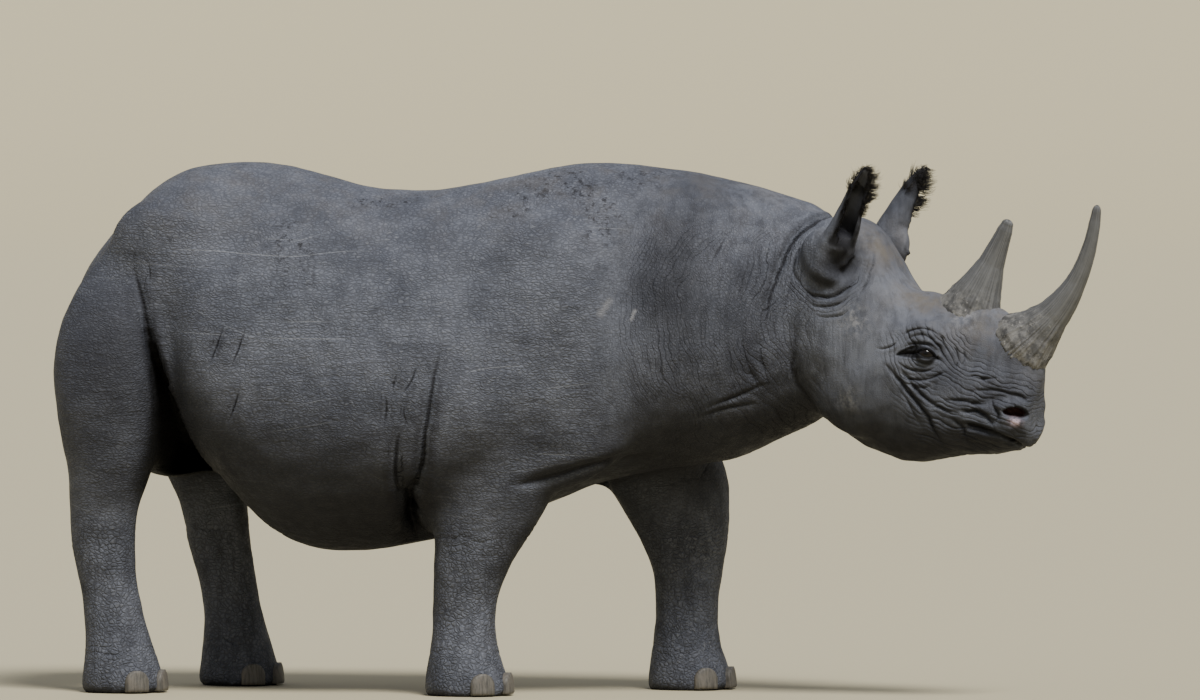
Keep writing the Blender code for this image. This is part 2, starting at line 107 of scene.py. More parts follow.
# ---------------------------------------------------------------- numbers in space
def smoothstep(low, high, values):
    """From 0 at low to 1 at high, with soft ends."""
    share = np.clip((values - low) / (high - low), 0, 1)
    return share * share * (3 - 2 * share)


def bell(values, width):
    """1 at 0, falling away softly over the width."""
    return np.exp(-((values / width) ** 2))


FULL_NOISE = 1.4  # brings the noise to about -1 to 1
SEED_STEP = 17.31  # how far apart the seeds of the noise lie
LATTICE = np.random.default_rng(SEED).permutation(256)
SLOPES = np.array([v for v in itertools.product((-1, 0, 1), repeat=3) if sum(map(abs, v)) == 2])


def noise(points, size, seed=0):
    """Smooth noise from about -1 to 1, whose lumps are this size."""
    scaled = np.asarray(points, float) / size + seed * SEED_STEP
    cell = np.floor(scaled).astype(int)
    part = scaled - cell
    fade = part**3 * (part * (part * 6 - 15) + 10)
    total = np.zeros(len(scaled))
    for corner in itertools.product((0, 1), repeat=3):
        at = cell + corner
        index = LATTICE[(LATTICE[(LATTICE[at[:, 0] & 255] + at[:, 1]) & 255] + at[:, 2]) & 255]
        slope = SLOPES[index % len(SLOPES)]
        weight = np.prod(np.where(corner, fade, 1 - fade), axis=1)
        total += weight * ((part - corner) * slope).sum(axis=1)
    return total * FULL_NOISE


def curve(points, spans=6):
    """A smooth line through a few chosen points."""
    chosen = np.array(points, float)
    ends = np.vstack([2 * chosen[0] - chosen[1], chosen, 2 * chosen[-1] - chosen[-2]])
    line = []
    for a, b, c, d in zip(ends, ends[1:], ends[2:], ends[3:]):
        for t in np.arange(spans) / spans:
            line.append(
                0.5 * (2 * b + (c - a) * t + (2 * a - 5 * b + 4 * c - d) * t**2
                       + (3 * b - a - 3 * c + d) * t**3)
            )
    line.append(chosen[-1])
    return np.array(line)


def beside(line, places):
    """How far each place is from a line, how far along it, and on a flat line, which side."""
    steps = np.linalg.norm(np.diff(line, axis=0), axis=1)
    starts = np.concatenate([[0], np.cumsum(steps)[:-1]]) / steps.sum()
    gap = np.full(len(places), 9.0)
    share, side = np.zeros(len(places)), np.ones(len(places))
    for a, b, start, step in zip(line, line[1:], starts, steps):
        run = (b - a) / step
        along = np.clip((places - a) @ run, 0, step)
        off = places - a - along[:, None] * run
        far = np.linalg.norm(off, axis=1)
        near = far < gap
        gap[near] = far[near]
        share[near] = start + along[near] / steps.sum()
        if places.shape[1] == 2:
            side[near] = np.sign(run[0] * off[near, 1] - run[1] * off[near, 0])
    return gap, share, side


# ---------------------------------------------------------------- meshes
def places_of(mesh):
    flat = np.empty(len(mesh.vertices) * 3, np.float32)
    mesh.vertices.foreach_get("co", flat)
    return flat.reshape(-1, 3).astype(float)


def set_places(mesh, points):
    mesh.vertices.foreach_set("co", np.asarray(points, np.float32).ravel())
    mesh.update()


def note(mesh, name, values):
    """Keeps a number for each point of a mesh, for its material to read."""
    layer = mesh.attributes.new(name, "FLOAT", "POINT")
    layer.data.foreach_set("value", values.astype(np.float32))


def linked(name, data):
    """A mesh, light or camera as an object of the scene."""
    made = bpy.data.objects.new(name, data)
    bpy.context.scene.collection.objects.link(made)
    return made


def finished(name, mesh):
    """A bmesh as an object of the scene, with smooth faces."""
    data = bpy.data.meshes.new(name)
    mesh.to_mesh(data)
    mesh.free()
    data.shade_smooth()
    return linked(name, data)


def lofted(name, rings):
    """A closed piece, skinned over rings of points."""
    mesh = bmesh.new()
    loops = [[mesh.verts.new(point) for point in ring] for ring in rings]
    for near, far in zip(loops, loops[1:]):
        for k in range(len(near)):
            after = (k + 1) % len(near)
            mesh.faces.new((near[k], near[after], far[after], far[k]))
    mesh.faces.new(reversed(loops[0]))
    mesh.faces.new(loops[-1])
    bmesh.ops.recalc_face_normals(mesh, faces=mesh.faces)
    return finished(name, mesh)


# ---------------------------------------------------------------- weaving the hide
# Where the hide's grid is drawn finer: the place, how far space is spread there, and over what reach
LENSES = (
    (from_head([(0.58, 0.0, 0.93)])[0], 0.85, 0.30),
    (from_head([(EYE_AHEAD, -EYE_OUT, EYE_LEVEL)])[0], 0.050, 0.045),
    (from_head([(EYE_AHEAD, EYE_OUT, EYE_LEVEL)])[0], 0.050, 0.045),
    (np.array(middle("ear_right")), 0.16, 0.16),
    (np.array(middle("ear_left")), 0.16, 0.16),
)
LENS_TABLE = np.linspace(0, 6, 24001)  # distances for which the spread is known, to undo it


def spread(points):
    """Swells space about each lens, so that an even grid is finer there."""
    for centre, gain, reach in LENSES:
        away = points - centre
        far = np.maximum(np.linalg.norm(away, axis=1), 1e-9)
        points = centre + away * (1 + gain * (1 - np.exp(-far / reach)) / far)[:, None]
    return points


def gather(points):
    """Undoes spread."""
    for centre, gain, reach in reversed(LENSES):
        away = points - centre
        far = np.maximum(np.linalg.norm(away, axis=1), 1e-9)
        back = np.interp(far, LENS_TABLE + gain * (1 - np.exp(-LENS_TABLE / reach)), LENS_TABLE)
        points = centre + away * (back / far)[:, None]
    return points


def add_blob(mesh, centre, axes, radii):
    """Adds an ellipsoid, with these radii along the rows of axes, to a bmesh."""
    made = bmesh.ops.create_icosphere(mesh, subdivisions=4, radius=1)
    for v in made["verts"]:
        v.co = Vector(np.asarray(centre) + (np.array(v.co) * radii) @ np.asarray(axes))


def add_swollen(mesh, solid):
    """Adds a solid, swollen a little, to a bmesh."""
    piece = bmesh.new()
    piece.from_mesh(solid)
    bmesh.ops.remove_doubles(piece, verts=piece.verts, dist=1e-5)
    bmesh.ops.recalc_face_normals(piece, faces=piece.faces)
    bmesh.ops.subdivide_edges(piece, edges=piece.edges, cuts=3, use_grid_fill=True)
    piece.normal_update()
    for v in piece.verts:
        v.co += v.normal * SWELL
    scrap = bpy.data.meshes.new("scrap")
    piece.to_mesh(scrap)
    piece.free()
    mesh.from_mesh(scrap)
    bpy.data.meshes.remove(scrap)


def woven(name, nodes, blobs, grid):
    """One closed skin over these solids and blobs."""
    whole = bmesh.new()
    for blob in blobs:
        add_blob(whole, *blob)
    for node in nodes:
        add_swollen(whole, frame["nodes"][node].data)
    rough = finished("rough", whole)
    set_places(rough.data, spread(places_of(rough.data)))
    weave = rough.modifiers.new("weave", "REMESH")
    weave.mode = "VOXEL"
    weave.voxel_size = grid
    graph = bpy.context.evaluated_depsgraph_get()
    data = bpy.data.meshes.new_from_object(rough.evaluated_get(graph))
    data.name = name
    bpy.data.objects.remove(rough)
    set_places(data, gather(places_of(data)))
    data.shade_smooth()
    return linked(name, data)


class Cloth:
    """The hide's points while they are shaped, with what reads and moves them."""

    def __init__(self, mesh):
        self.points = places_of(mesh)
        count = len(self.points)
        ends = np.empty(len(mesh.edges) * 2, np.int32)
        mesh.edges.foreach_get("vertices", ends)
        self.a, self.b = ends.reshape(-1, 2).T
        self.degree = np.bincount(self.a, minlength=count) + np.bincount(self.b, minlength=count)
        mesh.calc_loop_triangles()
        corners = np.empty(len(mesh.loop_triangles) * 3, np.int32)
        mesh.loop_triangles.foreach_get("vertices", corners)
        self.faces = corners.reshape(-1, 3)
        self.fold = np.full(count, 3.0)  # distance from the nearest fold, in its widths
        self.fold_depth = np.zeros(count)

    def relaxed(self, values, rounds):
        """The values, each drawn half way to the mean of its neighbours, this many times."""
        count = len(values)
        flat = values.reshape(count, -1).copy()
        for _ in range(rounds):
            for k in range(flat.shape[1]):
                column = flat[:, k]
                sums = np.bincount(self.a, column[self.b], count)
                sums += np.bincount(self.b, column[self.a], count)
                flat[:, k] = 0.5 * column + 0.5 * sums / self.degree
        return flat.reshape(values.shape)

    def normals(self):
        """The way the hide faces at each point."""
        p = self.points[self.faces]
        across = np.cross(p[:, 1] - p[:, 0], p[:, 2] - p[:, 0])
        total = np.zeros_like(self.points)
        for corner in range(3):
            for k in range(3):
                total[:, k] += np.bincount(self.faces[:, corner], across[:, k], len(total))
        return total / np.maximum(np.linalg.norm(total, axis=1), 1e-12)[:, None]

    def soften(self, rounds):
        """Smooths the facets away, and gives back most of what that shrinks."""
        smooth = self.relaxed(self.points, rounds)
        self.points = smooth + self.relaxed(self.points - smooth, rounds)

    def push(self, heights):
        """Moves each point out of the hide by its height."""
        self.points += self.normals() * heights[:, None]


# ---------------------------------------------------------------- the folds of the hide
# Side views of lines that the hide folds along: the line, its depth from its start to its end,
# its half width, and its lip, which is how much of the depth the hide swells beside it. A lip
# above 0 is on the line's left as it is drawn, and one below 0 is on its right.
# Body folds are given as along, up. Those of a pair of legs follow the stride of the left one,
# and a near one is on the right side alone, whose leg is drawn back under the brisket.
BODY_FOLDS = {
    "thigh": ("hind", ((-1.306, 1.262), (-1.270, 1.156), (-1.238, 1.015), (-1.215, 0.90)),
              (0, 0.011, 0.018, 0.024), 0.012, 0.35),
    "stifle": ("hind", ((-1.266, 1.268), (-1.250, 1.245), (-1.249, 1.19)), (0, 0.005, 0), 0.007, 0.3),
    "flank_1": ("", ((-1.003, 1.085), (-1.025, 1.03), (-1.050, 0.965)), (0, 0.009, 0), 0.006, 0.2),
    "flank_2": ("", ((-0.936, 1.080), (-0.958, 1.02), (-0.983, 0.955)), (0, 0.008, 0), 0.006, 0.2),
    "flank_3": ("", ((-0.952, 0.910), (-0.972, 0.85), (-0.998, 0.790)), (0, 0.009, 0), 0.006, 0.2),
    "elbow": ("front", ((-0.353, 1.060), (-0.379, 0.905), (-0.399, 0.787), (-0.416, 0.692),
                        (-0.446, 0.600)), (0, 0.005, 0.012, 0.020, 0.022), 0.011, 0.3),
    "elbow_gap": ("front", ((-0.448, 0.640), (-0.468, 0.570), (-0.482, 0.50), (-0.488, 0.40)),
                  (0, 0.050, 0.100, 0.130), 0.027, 0.0),
    "elbow_flap": ("front", ((-0.478, 0.790), (-0.489, 0.713), (-0.496, 0.620), (-0.482, 0.580)),
                   (0, 0.010, 0.016, 0.010), 0.010, -0.3),
    "elbow_back_1": ("front", ((-0.520, 0.900), (-0.512, 0.845), (-0.524, 0.780)),
                     (0, 0.007, 0), 0.007, 0.2),
    "elbow_back_2": ("front", ((-0.424, 0.975), (-0.440, 0.925), (-0.470, 0.880)),
                     (0, 0.009, 0), 0.006, 0.2),
    "elbow_back_3": ("front", ((-0.452, 0.870), (-0.462, 0.830), (-0.448, 0.780)),
                     (0, 0.006, 0), 0.006, 0.2),
    "elbow_back_4": ("front", ((-0.478, 0.955), (-0.492, 0.920), (-0.500, 0.872)),
                     (0, 0.006, 0), 0.006, 0.2),
    "throat_1": ("", ((0.385, 0.838), (0.473, 0.875), (0.560, 0.912)), (0, 0.006, 0.002), 0.0055, 0.3),
    "throat_2": ("", ((0.370, 0.815), (0.454, 0.842), (0.530, 0.858)), (0, 0.006, 0.002), 0.0055, 0.3),
    "throat_3": ("", ((0.500, 1.100), (0.516, 0.990), (0.545, 0.910)), (0, 0.004, 0.003), 0.0045, 0.3),
    "throat_4": ("", ((0.548, 1.080), (0.560, 0.990), (0.574, 0.915)), (0, 0.004, 0.002), 0.0045, 0.3),
    "throat_5": ("", ((0.462, 1.070), (0.474, 0.985), (0.468, 0.930)), (0, 0.004, 0.002), 0.0045, 0.3),
    "brisket": ("near", ((-0.175, 0.622), (-0.060, 0.637), (0.040, 0.665), (0.140, 0.692),
                          (0.246, 0.709)), (0, 0.012, 0.016, 0.016, 0.0), 0.014, 0.35),
}
# Face folds are given as ahead, up, in the head's axes, and are alike on both sides
HEAD_FOLDS = {
    "nape": (((0.108, 1.44), (0.083, 1.400), (0.058, 1.369), (0.039, 1.332), (0.022, 1.270),
              (0.008, 1.20), (-0.004, 1.11), (-0.010, 1.03)),
             (0.011, 0.012, 0.012, 0.011, 0.009, 0.006, 0.003, 0), 0.0085, -0.6),
    "nape_behind": (((-0.118, 1.385), (-0.150, 1.290), (-0.165, 1.220)), (0, 0.004, 0), 0.006, -0.3),
    "jaw": (((0.075, 1.08), (0.058, 1.00), (0.062, 0.92), (0.090, 0.845)),
            (0, 0.004, 0.006, 0.004), 0.014, 0.2),
    "ear_behind": (((0.102, 1.372), (0.072, 1.335), (0.052, 1.285), (0.062, 1.235), (0.092, 1.196)),
                   (0, 0.005, 0.006, 0.006, 0), 0.007, 0.3),
    "ear_under_1": (((0.086, 1.200), (0.130, 1.174), (0.185, 1.172), (0.232, 1.199), (0.262, 1.240)),
                    (0, 0.006, 0.007, 0.005, 0), 0.0050, 0.3),
    "ear_under_2": (((0.105, 1.160), (0.150, 1.142), (0.205, 1.150), (0.250, 1.180)),
                    (0, 0.0045, 0.005, 0), 0.0042, 0.3),
    "ear_under_3": (((0.130, 1.126), (0.165, 1.112), (0.215, 1.118), (0.255, 1.148)),
                    (0, 0.003, 0.004, 0), 0.0042, 0.2),
    "ear_ahead": (((0.272, 1.325), (0.284, 1.262), (0.278, 1.202), (0.252, 1.143)),
                  (0, 0.004, 0.004, 0), 0.006, 0.2),
    "cheek": (((0.352, 0.985), (0.402, 0.922), (0.455, 0.850), (0.487, 0.780), (0.500, 0.735)),
              (0, 0.008, 0.009, 0.008, 0.002), 0.0065, 0.35),
    "cheek_2": (((0.385, 0.920), (0.425, 0.850), (0.452, 0.780)), (0, 0.004, 0), 0.005, 0.2),
    "cheek_3": (((0.395, 0.975), (0.440, 0.912), (0.500, 0.858), (0.560, 0.835)),
                (0, 0.006, 0.005, 0.002), 0.0055, 0.3),
    "muzzle_1": (((0.600, 0.942), (0.640, 0.936), (0.685, 0.940)), (0, 0.006, 0), 0.0045, 0.3),
    "muzzle_2": (((0.595, 0.900), (0.650, 0.905), (0.700, 0.899), (0.762, 0.880)),
                 (0, 0.004, 0.005, 0.003), 0.005, 0.3),
    "muzzle_3": (((0.520, 0.873), (0.575, 0.872), (0.625, 0.863), (0.665, 0.868)),
                 (0, 0.005, 0.005, 0), 0.005, 0.3),
    "nostril_back": (((0.672, 0.886), (0.668, 0.860), (0.684, 0.835), (0.672, 0.806)),
                     (0, 0.006, 0.007, 0.002), 0.006, 0.3),
    "lip_crease": (((0.560, 0.838), (0.600, 0.842), (0.640, 0.832), (0.664, 0.808)),
                   (0, 0.007, 0.009, 0.004), 0.0065, 0.4),
    "lip_corner": (((0.535, 0.822), (0.560, 0.805), (0.575, 0.780), (0.570, 0.755)),
                   (0, 0.006, 0.007, 0), 0.0065, 0.3),
    "chin": (((0.520, 0.775), (0.580, 0.752), (0.640, 0.742)), (0, 0.004, 0), 0.007, 0.2),
}
LONE_HEAD_FOLDS = ("nape", "nape_behind", "jaw")  # far from any other, so they can be signed
# Creases round the eye, about its centre, ahead along the slit and up across it: the path, then
# depth and half width
EYE_CREASES = {
    "brow": (((-0.086, 0.022), (-0.070, 0.048), (-0.048, 0.063), (-0.028, 0.070), (0.001, 0.070),
              (0.029, 0.059), (0.047, 0.039), (0.058, 0.016)), 0.0052, 0.0042),
    "brow_inner": (((-0.075, 0.019), (-0.054, 0.038), (-0.029, 0.050), (-0.003, 0.050),
                    (0.015, 0.041), (0.031, 0.028), (0.042, 0.010)), 0.0034, 0.0036),
    "lid": (((-0.076, -0.004), (-0.055, 0.015), (-0.028, 0.025), (0.002, 0.025),
             (0.024, 0.014), (0.037, -0.003)), 0.0066, 0.0042),
    "ahead_1": (((0.064, 0.049), (0.084, 0.027), (0.094, 0.002), (0.092, -0.028)), 0.0045, 0.0042),
    "ahead_2": (((0.101, 0.043), (0.111, 0.014), (0.107, -0.017)), 0.0035, 0.0042),
    "pouch": (((-0.080, -0.036), (-0.051, -0.051), (-0.012, -0.053), (0.022, -0.042),
               (0.044, -0.017)), 0.0058, 0.0032),
    "under_1": (((-0.074, -0.060), (-0.052, -0.073), (-0.012, -0.079), (0.027, -0.066),
                 (0.059, -0.043), (0.084, -0.033)), 0.0055, 0.0045),
    "under_2": (((-0.038, -0.096), (-0.015, -0.100), (0.010, -0.098), (0.036, -0.088)),
                0.0040, 0.0042),
    "behind": (((-0.152, -0.016), (-0.128, -0.013), (-0.104, 0.000), (-0.090, 0.022)), 0.0036, 0.0036),
    "below": (((-0.050, -0.018), (-0.025, -0.026), (0.004, -0.026), (0.026, -0.014)), 0.0035, 0.0034),
}
# The creases that run out of the slit's corners, in the same axes, their depth and half width
CORNER_DEPTH, CORNER_HALF = 0.009, 0.0045
EYE_CORNERS = (
    ((-0.026, -0.002), (-0.046, -0.008), (-0.066, -0.014), (-0.086, -0.019)),
    ((0.026, -0.001), (0.038, -0.006), (0.050, -0.011)),
)


def stride(kind, side, height):
    """How far the left leg of a pair stands ahead of the right one, at each height."""
    if side < 0 or kind not in ("front", "hind"):
        return np.zeros_like(height)
    reach = mount(f"sole_{kind}_left").x - mount(f"sole_{kind}_right").x
    return reach * np.clip(1 - (height / HIP_HEIGHT) ** 2, 0, 1)


def note_fold(cloth, points, gaps, strength):
    """Keeps each point's distance from its nearest fold, in the fold's half widths."""
    closer = np.abs(gaps) < np.abs(cloth.fold[points])
    chosen = points[closer]
    cloth.fold[chosen] = gaps[closer]
    cloth.fold_depth[chosen] = (strength * smoothstep(2.0, 1.2, np.abs(gaps)))[closer]


def fold_along(cloth, line, places, weight, depths, width, lip, signed=False):
    """The heights that press a fold into the hide, where places are its points as seen flat.

    A signed fold stays crisp between the hide's points, but can't lie close to another one.
    """
    low, high = line.min(axis=0) - 5 * width, line.max(axis=0) + 5 * width
    near = np.flatnonzero(((places > low) & (places < high)).all(axis=1) & (weight > 0.01))
    gap, share, side = beside(line, places[near])
    strength = np.interp(share, np.linspace(0, 1, len(depths)), depths) * weight[near]
    heights = np.zeros(len(places))
    heights[near] = -strength * bell(gap, width)
    if lip:
        beyond = gap * side * np.sign(lip) / width
        heights[near] += abs(lip) * strength * bell(beyond - 2.4, 2.0)
    note_fold(cloth, near, gap / width * (side if signed else 1), strength)
    return heights


def facing(normals, axis):
    """From 0 to 1, how much of the hide faces along an axis, either way."""
    return smoothstep(0.10, 0.45, np.abs(normals @ axis))


def wavering(cloth, flat, width, size, much=0.5):
    """The hide's points as seen flat, swaying by a part of a fold's width."""
    sway = np.stack([noise(cloth.points, size, 3), noise(cloth.points, size, 4)], axis=1)
    return flat + much * width * sway


def fold_body(cloth):
    """Presses the folds of the body and the legs into both sides."""
    turned = facing(cloth.normals(), np.array((0.0, 1.0, 0.0)))
    heights = np.zeros(len(cloth.points))
    for kind, path, depths, width, lip in BODY_FOLDS.values():
        for side in SIDES.values():
            if kind == "near" and side > 0:
                continue
            flat = cloth.points[:, [0, 2]].copy()
            flat[:, 0] -= stride(kind, side, flat[:, 1])
            on_side = turned * (cloth.points[:, 1] * side > 0.02)
            flat = wavering(cloth, flat, width, 0.08, 0.3)
            heights += fold_along(cloth, curve(path), flat, on_side, depths, width, lip, True)
    cloth.push(heights)


def fold_head(cloth):
    """Presses the folds of the head and the nape into both sides."""
    sideways = facing(cloth.normals(), HEAD_AXES[1])
    flat = to_head(cloth.points)[:, [0, 2]]
    heights = np.zeros(len(cloth.points))
    for name, (path, depths, width, lip) in HEAD_FOLDS.items():
        weight = np.ones(len(flat)) if name == "nape" else sideways
        wavy = wavering(cloth, flat, width, 0.035)
        signed = name in LONE_HEAD_FOLDS
        heights += fold_along(cloth, curve(path), wavy, weight, depths, width, lip, signed)
    cloth.push(heights)


# The cleft between the thigh and the belly: heights, and at each of them where its rear and its
# front edge lie along the body, and its depth
CLEFT_HEIGHTS = (0.62, 0.68, 0.775, 0.861, 0.95, 1.03, 1.12)
CLEFT_BEHIND = (-1.268, -1.256, -1.240, -1.234, -1.242, -1.252, -1.270)
CLEFT_AHEAD = (-1.080, -1.120, -1.158, -1.184, -1.204, -1.234, -1.262)
CLEFT_DEPTHS = (0.24, 0.24, 0.20, 0.13, 0.07, 0.03, 0.0)
CLEFT_TOP = 1.12
CLEFT_FOOT = (0.34, 0.41)  # heights between which it starts, well above the feet


def cleave_flank(cloth):
    """The deep cleft between the thigh and the belly, which widens downwards. Gives how dark the painted
    shade in it is.
    """
    x, y, z = cloth.points.T.copy()
    dark = np.zeros(len(x))
    above_feet = smoothstep(*CLEFT_FOOT, z)
    for side in SIDES.values():
        behind = np.interp(z, CLEFT_HEIGHTS, CLEFT_BEHIND) + stride("hind", side, z)
        ahead = np.interp(z, CLEFT_HEIGHTS, CLEFT_AHEAD) + stride("hind", side, z)
        share = (x - behind) / (ahead - behind)
        inside = smoothstep(0.0, 0.25, share) * smoothstep(1.0, 0.84, share)
        inside *= smoothstep(0.06, 0.16, y * side) * (z < CLEFT_TOP) * above_feet
        depth = np.interp(z, CLEFT_HEIGHTS, CLEFT_DEPTHS)
        cloth.points[:, 1] -= side * depth * inside
        # the shade in the cleft is painted near-black
        shade = smoothstep(-0.30, 0.02, share) * smoothstep(1.02, 0.90, share) * (y * side > 0.03)
        dark = np.maximum(dark, shade * above_feet * smoothstep(0.0, 0.07, depth) * (z < CLEFT_TOP))
    return dark


# Broad relief of bone and muscle: along, up, half length, half height, how far it stands out
RELIEF = (
    (-1.245, 1.395, 0.130, 0.050, 0.014),
    (-1.330, 1.315, 0.070, 0.070, 0.010),
    (-1.040, 1.330, 0.120, 0.090, -0.012),
    (-1.300, 1.020, 0.080, 0.200, 0.008),
    (-1.390, 1.120, 0.050, 0.140, -0.005),
    (0.020, 1.250, 0.090, 0.220, 0.009),
    (0.185, 1.180, 0.050, 0.220, -0.008),
    (-0.130, 1.130, 0.080, 0.240, 0.007),
    (-0.265, 1.200, 0.070, 0.220, -0.007),
    (-0.220, 0.800, 0.090, 0.120, 0.008),
    (0.440, 1.130, 0.120, 0.200, 0.006),
)
# The same on the head, in its own axes
HEAD_RELIEF = (
    (0.455, 1.085, 0.075, 0.030, 0.010),
    (0.350, 1.130, 0.080, 0.060, -0.007),
    (0.290, 0.960, 0.090, 0.110, 0.007),
    (0.400, 1.010, 0.050, 0.035, -0.005),
    (0.590, 0.985, 0.090, 0.045, -0.006),
    (0.640, 0.780, 0.050, 0.030, 0.006),
    (0.214, 1.262, 0.030, 0.032, -0.026),
    (0.200, 1.080, 0.100, 0.050, -0.005),
)
# Over the head's top: ahead, half length, half width, how far it stands out
CROWN_RELIEF = (
    (0.360, 0.048, 0.110, -0.022),
    (0.440, 0.034, 0.080, 0.008),
    (0.265, 0.045, 0.090, 0.006),
)
CROWN_FROM = 1.08  # the level above which the crown's relief lies
# How far the muzzle's upper front comes ahead to meet the horn, and where: up, half height
MUZZLE_AHEAD, MUZZLE_AT, MUZZLE_HALF = 0.024, 0.948, 0.042
# How far its lower front is drawn back, and where
MUZZLE_BACK, FLAT_AT, FLAT_HALF = 0.010, 0.815, 0.050
# The ribs: how far apart they are, how high, how far they lean, and the middle and half size of
# the cage along and up
RIB_PERIOD, RIB_HEIGHT, RIB_LEAN = 0.085, 0.0016, 0.35
CAGE_ALONG, CAGE_UP = (-0.62, 0.30), (1.02, 0.26)
LUMPS = ((0.0024, 0.16, 1), (0.0012, 0.05, 2))  # of the whole hide: height, size, seed


def relieve_crown(cloth):
    """Dips the forehead before the ears, and shapes the muzzle's front."""
    head = to_head(cloth.points)
    upward = smoothstep(0.05, 0.50, cloth.normals()[:, 2])
    heights = np.zeros(len(head))
    for ahead, half_length, half_width, out in CROWN_RELIEF:
        spot = bell(head[:, 0] - ahead, half_length) * bell(head[:, 1], half_width)
        heights += out * spot * upward * (head[:, 2] > CROWN_FROM)
    cloth.push(heights)
    # the muzzle comes ahead to meet the horn, and is flatter between the nostrils
    head = to_head(cloth.points)
    front = smoothstep(0.640, 0.735, head[:, 0]) * bell(head[:, 2] - MUZZLE_AT, MUZZLE_HALF)
    head[:, 0] += MUZZLE_AHEAD * front * bell(head[:, 1], 0.10)
    flat = smoothstep(0.72, 0.78, head[:, 0]) * bell(head[:, 2] - FLAT_AT, FLAT_HALF)
    head[:, 0] -= MUZZLE_BACK * flat
    cloth.points = from_head(head)


def relieve(cloth):
    """Raises the bones and muscles under the hide, and makes it a little uneven."""
    normals = cloth.normals()
    head = to_head(cloth.points)
    x, y, z = cloth.points.T
    heights = np.zeros(len(x))
    turned = facing(normals, np.array((0.0, 1.0, 0.0)))
    for along, up, half_length, half_height, out in RELIEF:
        kind = "hind" if along < -0.8 else "front"
        for side in SIDES.values():
            shift = stride(kind, side, z) * 0.6
            spot = bell(x - shift - along, half_length) * bell(z - up, half_height)
            heights += out * spot * turned * (y * side > 0)
    for along, up, half_length, half_height, out in HEAD_RELIEF:
        spot = bell(head[:, 0] - along, half_length) * bell(head[:, 2] - up, half_height)
        heights += out * spot * facing(normals, HEAD_AXES[1])
    ribs = np.sin((x + RIB_LEAN * (z - 1.0)) * 2 * math.pi / RIB_PERIOD)
    cage = bell(x - CAGE_ALONG[0], CAGE_ALONG[1]) * bell(z - CAGE_UP[0], CAGE_UP[1])
    heights += RIB_HEIGHT * ribs * cage * turned
    (broad, size, seed), (small, small_size, small_seed) = LUMPS
    heights += broad * noise(cloth.points, size, seed) * smoothstep(0.0, 0.3, z)
    heights += small * noise(cloth.points, small_size, small_seed)
    cloth.push(heights)


# ---------------------------------------------------------------- eyes
EYE_RAISED = 0.006  # the hide shows the eye this much above its solid's middle
GAZE = np.array((0.37, 0.92, 0.09))  # in the head's axes, for the left eye
SLIT_TILT = math.radians(-11)  # the slit falls towards the muzzle
BALL = EYE_RADIUS * 1.16  # the eyeball's radius
LID = 0.0040  # how thick the lids are
SLIT_HALF = 0.0300  # half the slit's length
SLIT_UP, SLIT_DOWN = 0.0160, 0.0100  # how far it opens above and below its line
RIM_HALF = 0.0016  # how near the hide's points have to be to the slit's rim to be drawn onto it
HOOD_UP, HOOD_DOWN = 0.0042, 0.0008  # how far the lids stand out over the ball at their rims
# The brow's shelf, the pouch, and the roll of the lower lid: along, half length, up, half height,
# how far they stand out
LID_SWELLS = (
    (-0.012, 0.050, 0.037, 0.013, 0.0065),
    (-0.016, 0.048, -0.038, 0.013, 0.0040),
    (0.0, 0.028, -0.021, 0.008, 0.0040),
)
# The sunken almond behind and above the slit, painted dark as the brow's shade: its middle, half length,
# height
SHADE_AT, SHADE_HALF, SHADE_UP = (-0.024, -0.015), 0.064, 0.036
SHADE_DEPTH = 0.0075


def eye_axes(side):
    """Rows: along the slit towards the muzzle, up across it, and out of the head."""
    out = GAZE * (1, side, 1)
    out /= np.linalg.norm(out)
    ahead = np.array((1.0, 0, 0)) - out * out[0]
    ahead /= np.linalg.norm(ahead)
    up = np.cross(ahead, out) * -side
    if up[2] < 0:
        up = -up
    along = ahead * math.cos(SLIT_TILT) + up * math.sin(SLIT_TILT)
    across = up * math.cos(SLIT_TILT) - ahead * math.sin(SLIT_TILT)
    return np.array((along, across, out))


def eye_centre(side):
    """The middle of the eyeball, in the head's axes."""
    return np.array((EYE_AHEAD, side * EYE_OUT, EYE_LEVEL + EYE_RAISED))


def almond(u, v):
    """How dark the painted shade of the sunken almond about the eye is, from 0 to 1."""
    middle = SHADE_AT[1] + 0.125 * (u - SHADE_AT[0])
    reach = np.clip(1 - ((u - SHADE_AT[0]) / SHADE_HALF) ** 2, 0, None)
    shade = smoothstep(-0.002, 0.004, middle + SHADE_UP * reach - v)
    return shade * (smoothstep(-0.002, 0.004, v - middle + 0.004 * reach) * (reach > 0))


def crease_lids(cloth, points, u, v):
    """The heights of the creases round an eye and out of its corners, at some of the points."""
    flat = np.stack([u, v], axis=1)
    heights = np.zeros(len(u))
    lines = [(curve(path), depth, width, 0.30) for path, depth, width in EYE_CREASES.values()]
    lines += [(curve(corner), CORNER_DEPTH, CORNER_HALF, 0.0) for corner in EYE_CORNERS]
    for line, depth, width, fade in lines:
        gap, share, flank = beside(line, flat + 0.0012 * noise(cloth.points[points], 0.02, 7)[:, None])
        if fade:
            ends = smoothstep(0, fade, share) * smoothstep(1, 1 - fade, share)
        else:
            ends = smoothstep(1.0, 0.3, share)
        uneven = np.clip(0.85 + 0.6 * noise(cloth.points[points], 0.022, 15), 0.3, 1.2)
        strength = depth * ends * uneven
        heights -= 0.75 * strength * bell(gap, width)
        heights += 0.25 * strength * bell(gap - 2.2 * width, 1.4 * width)
        note_fold(cloth, points, gap / width * flank, strength)
    return heights


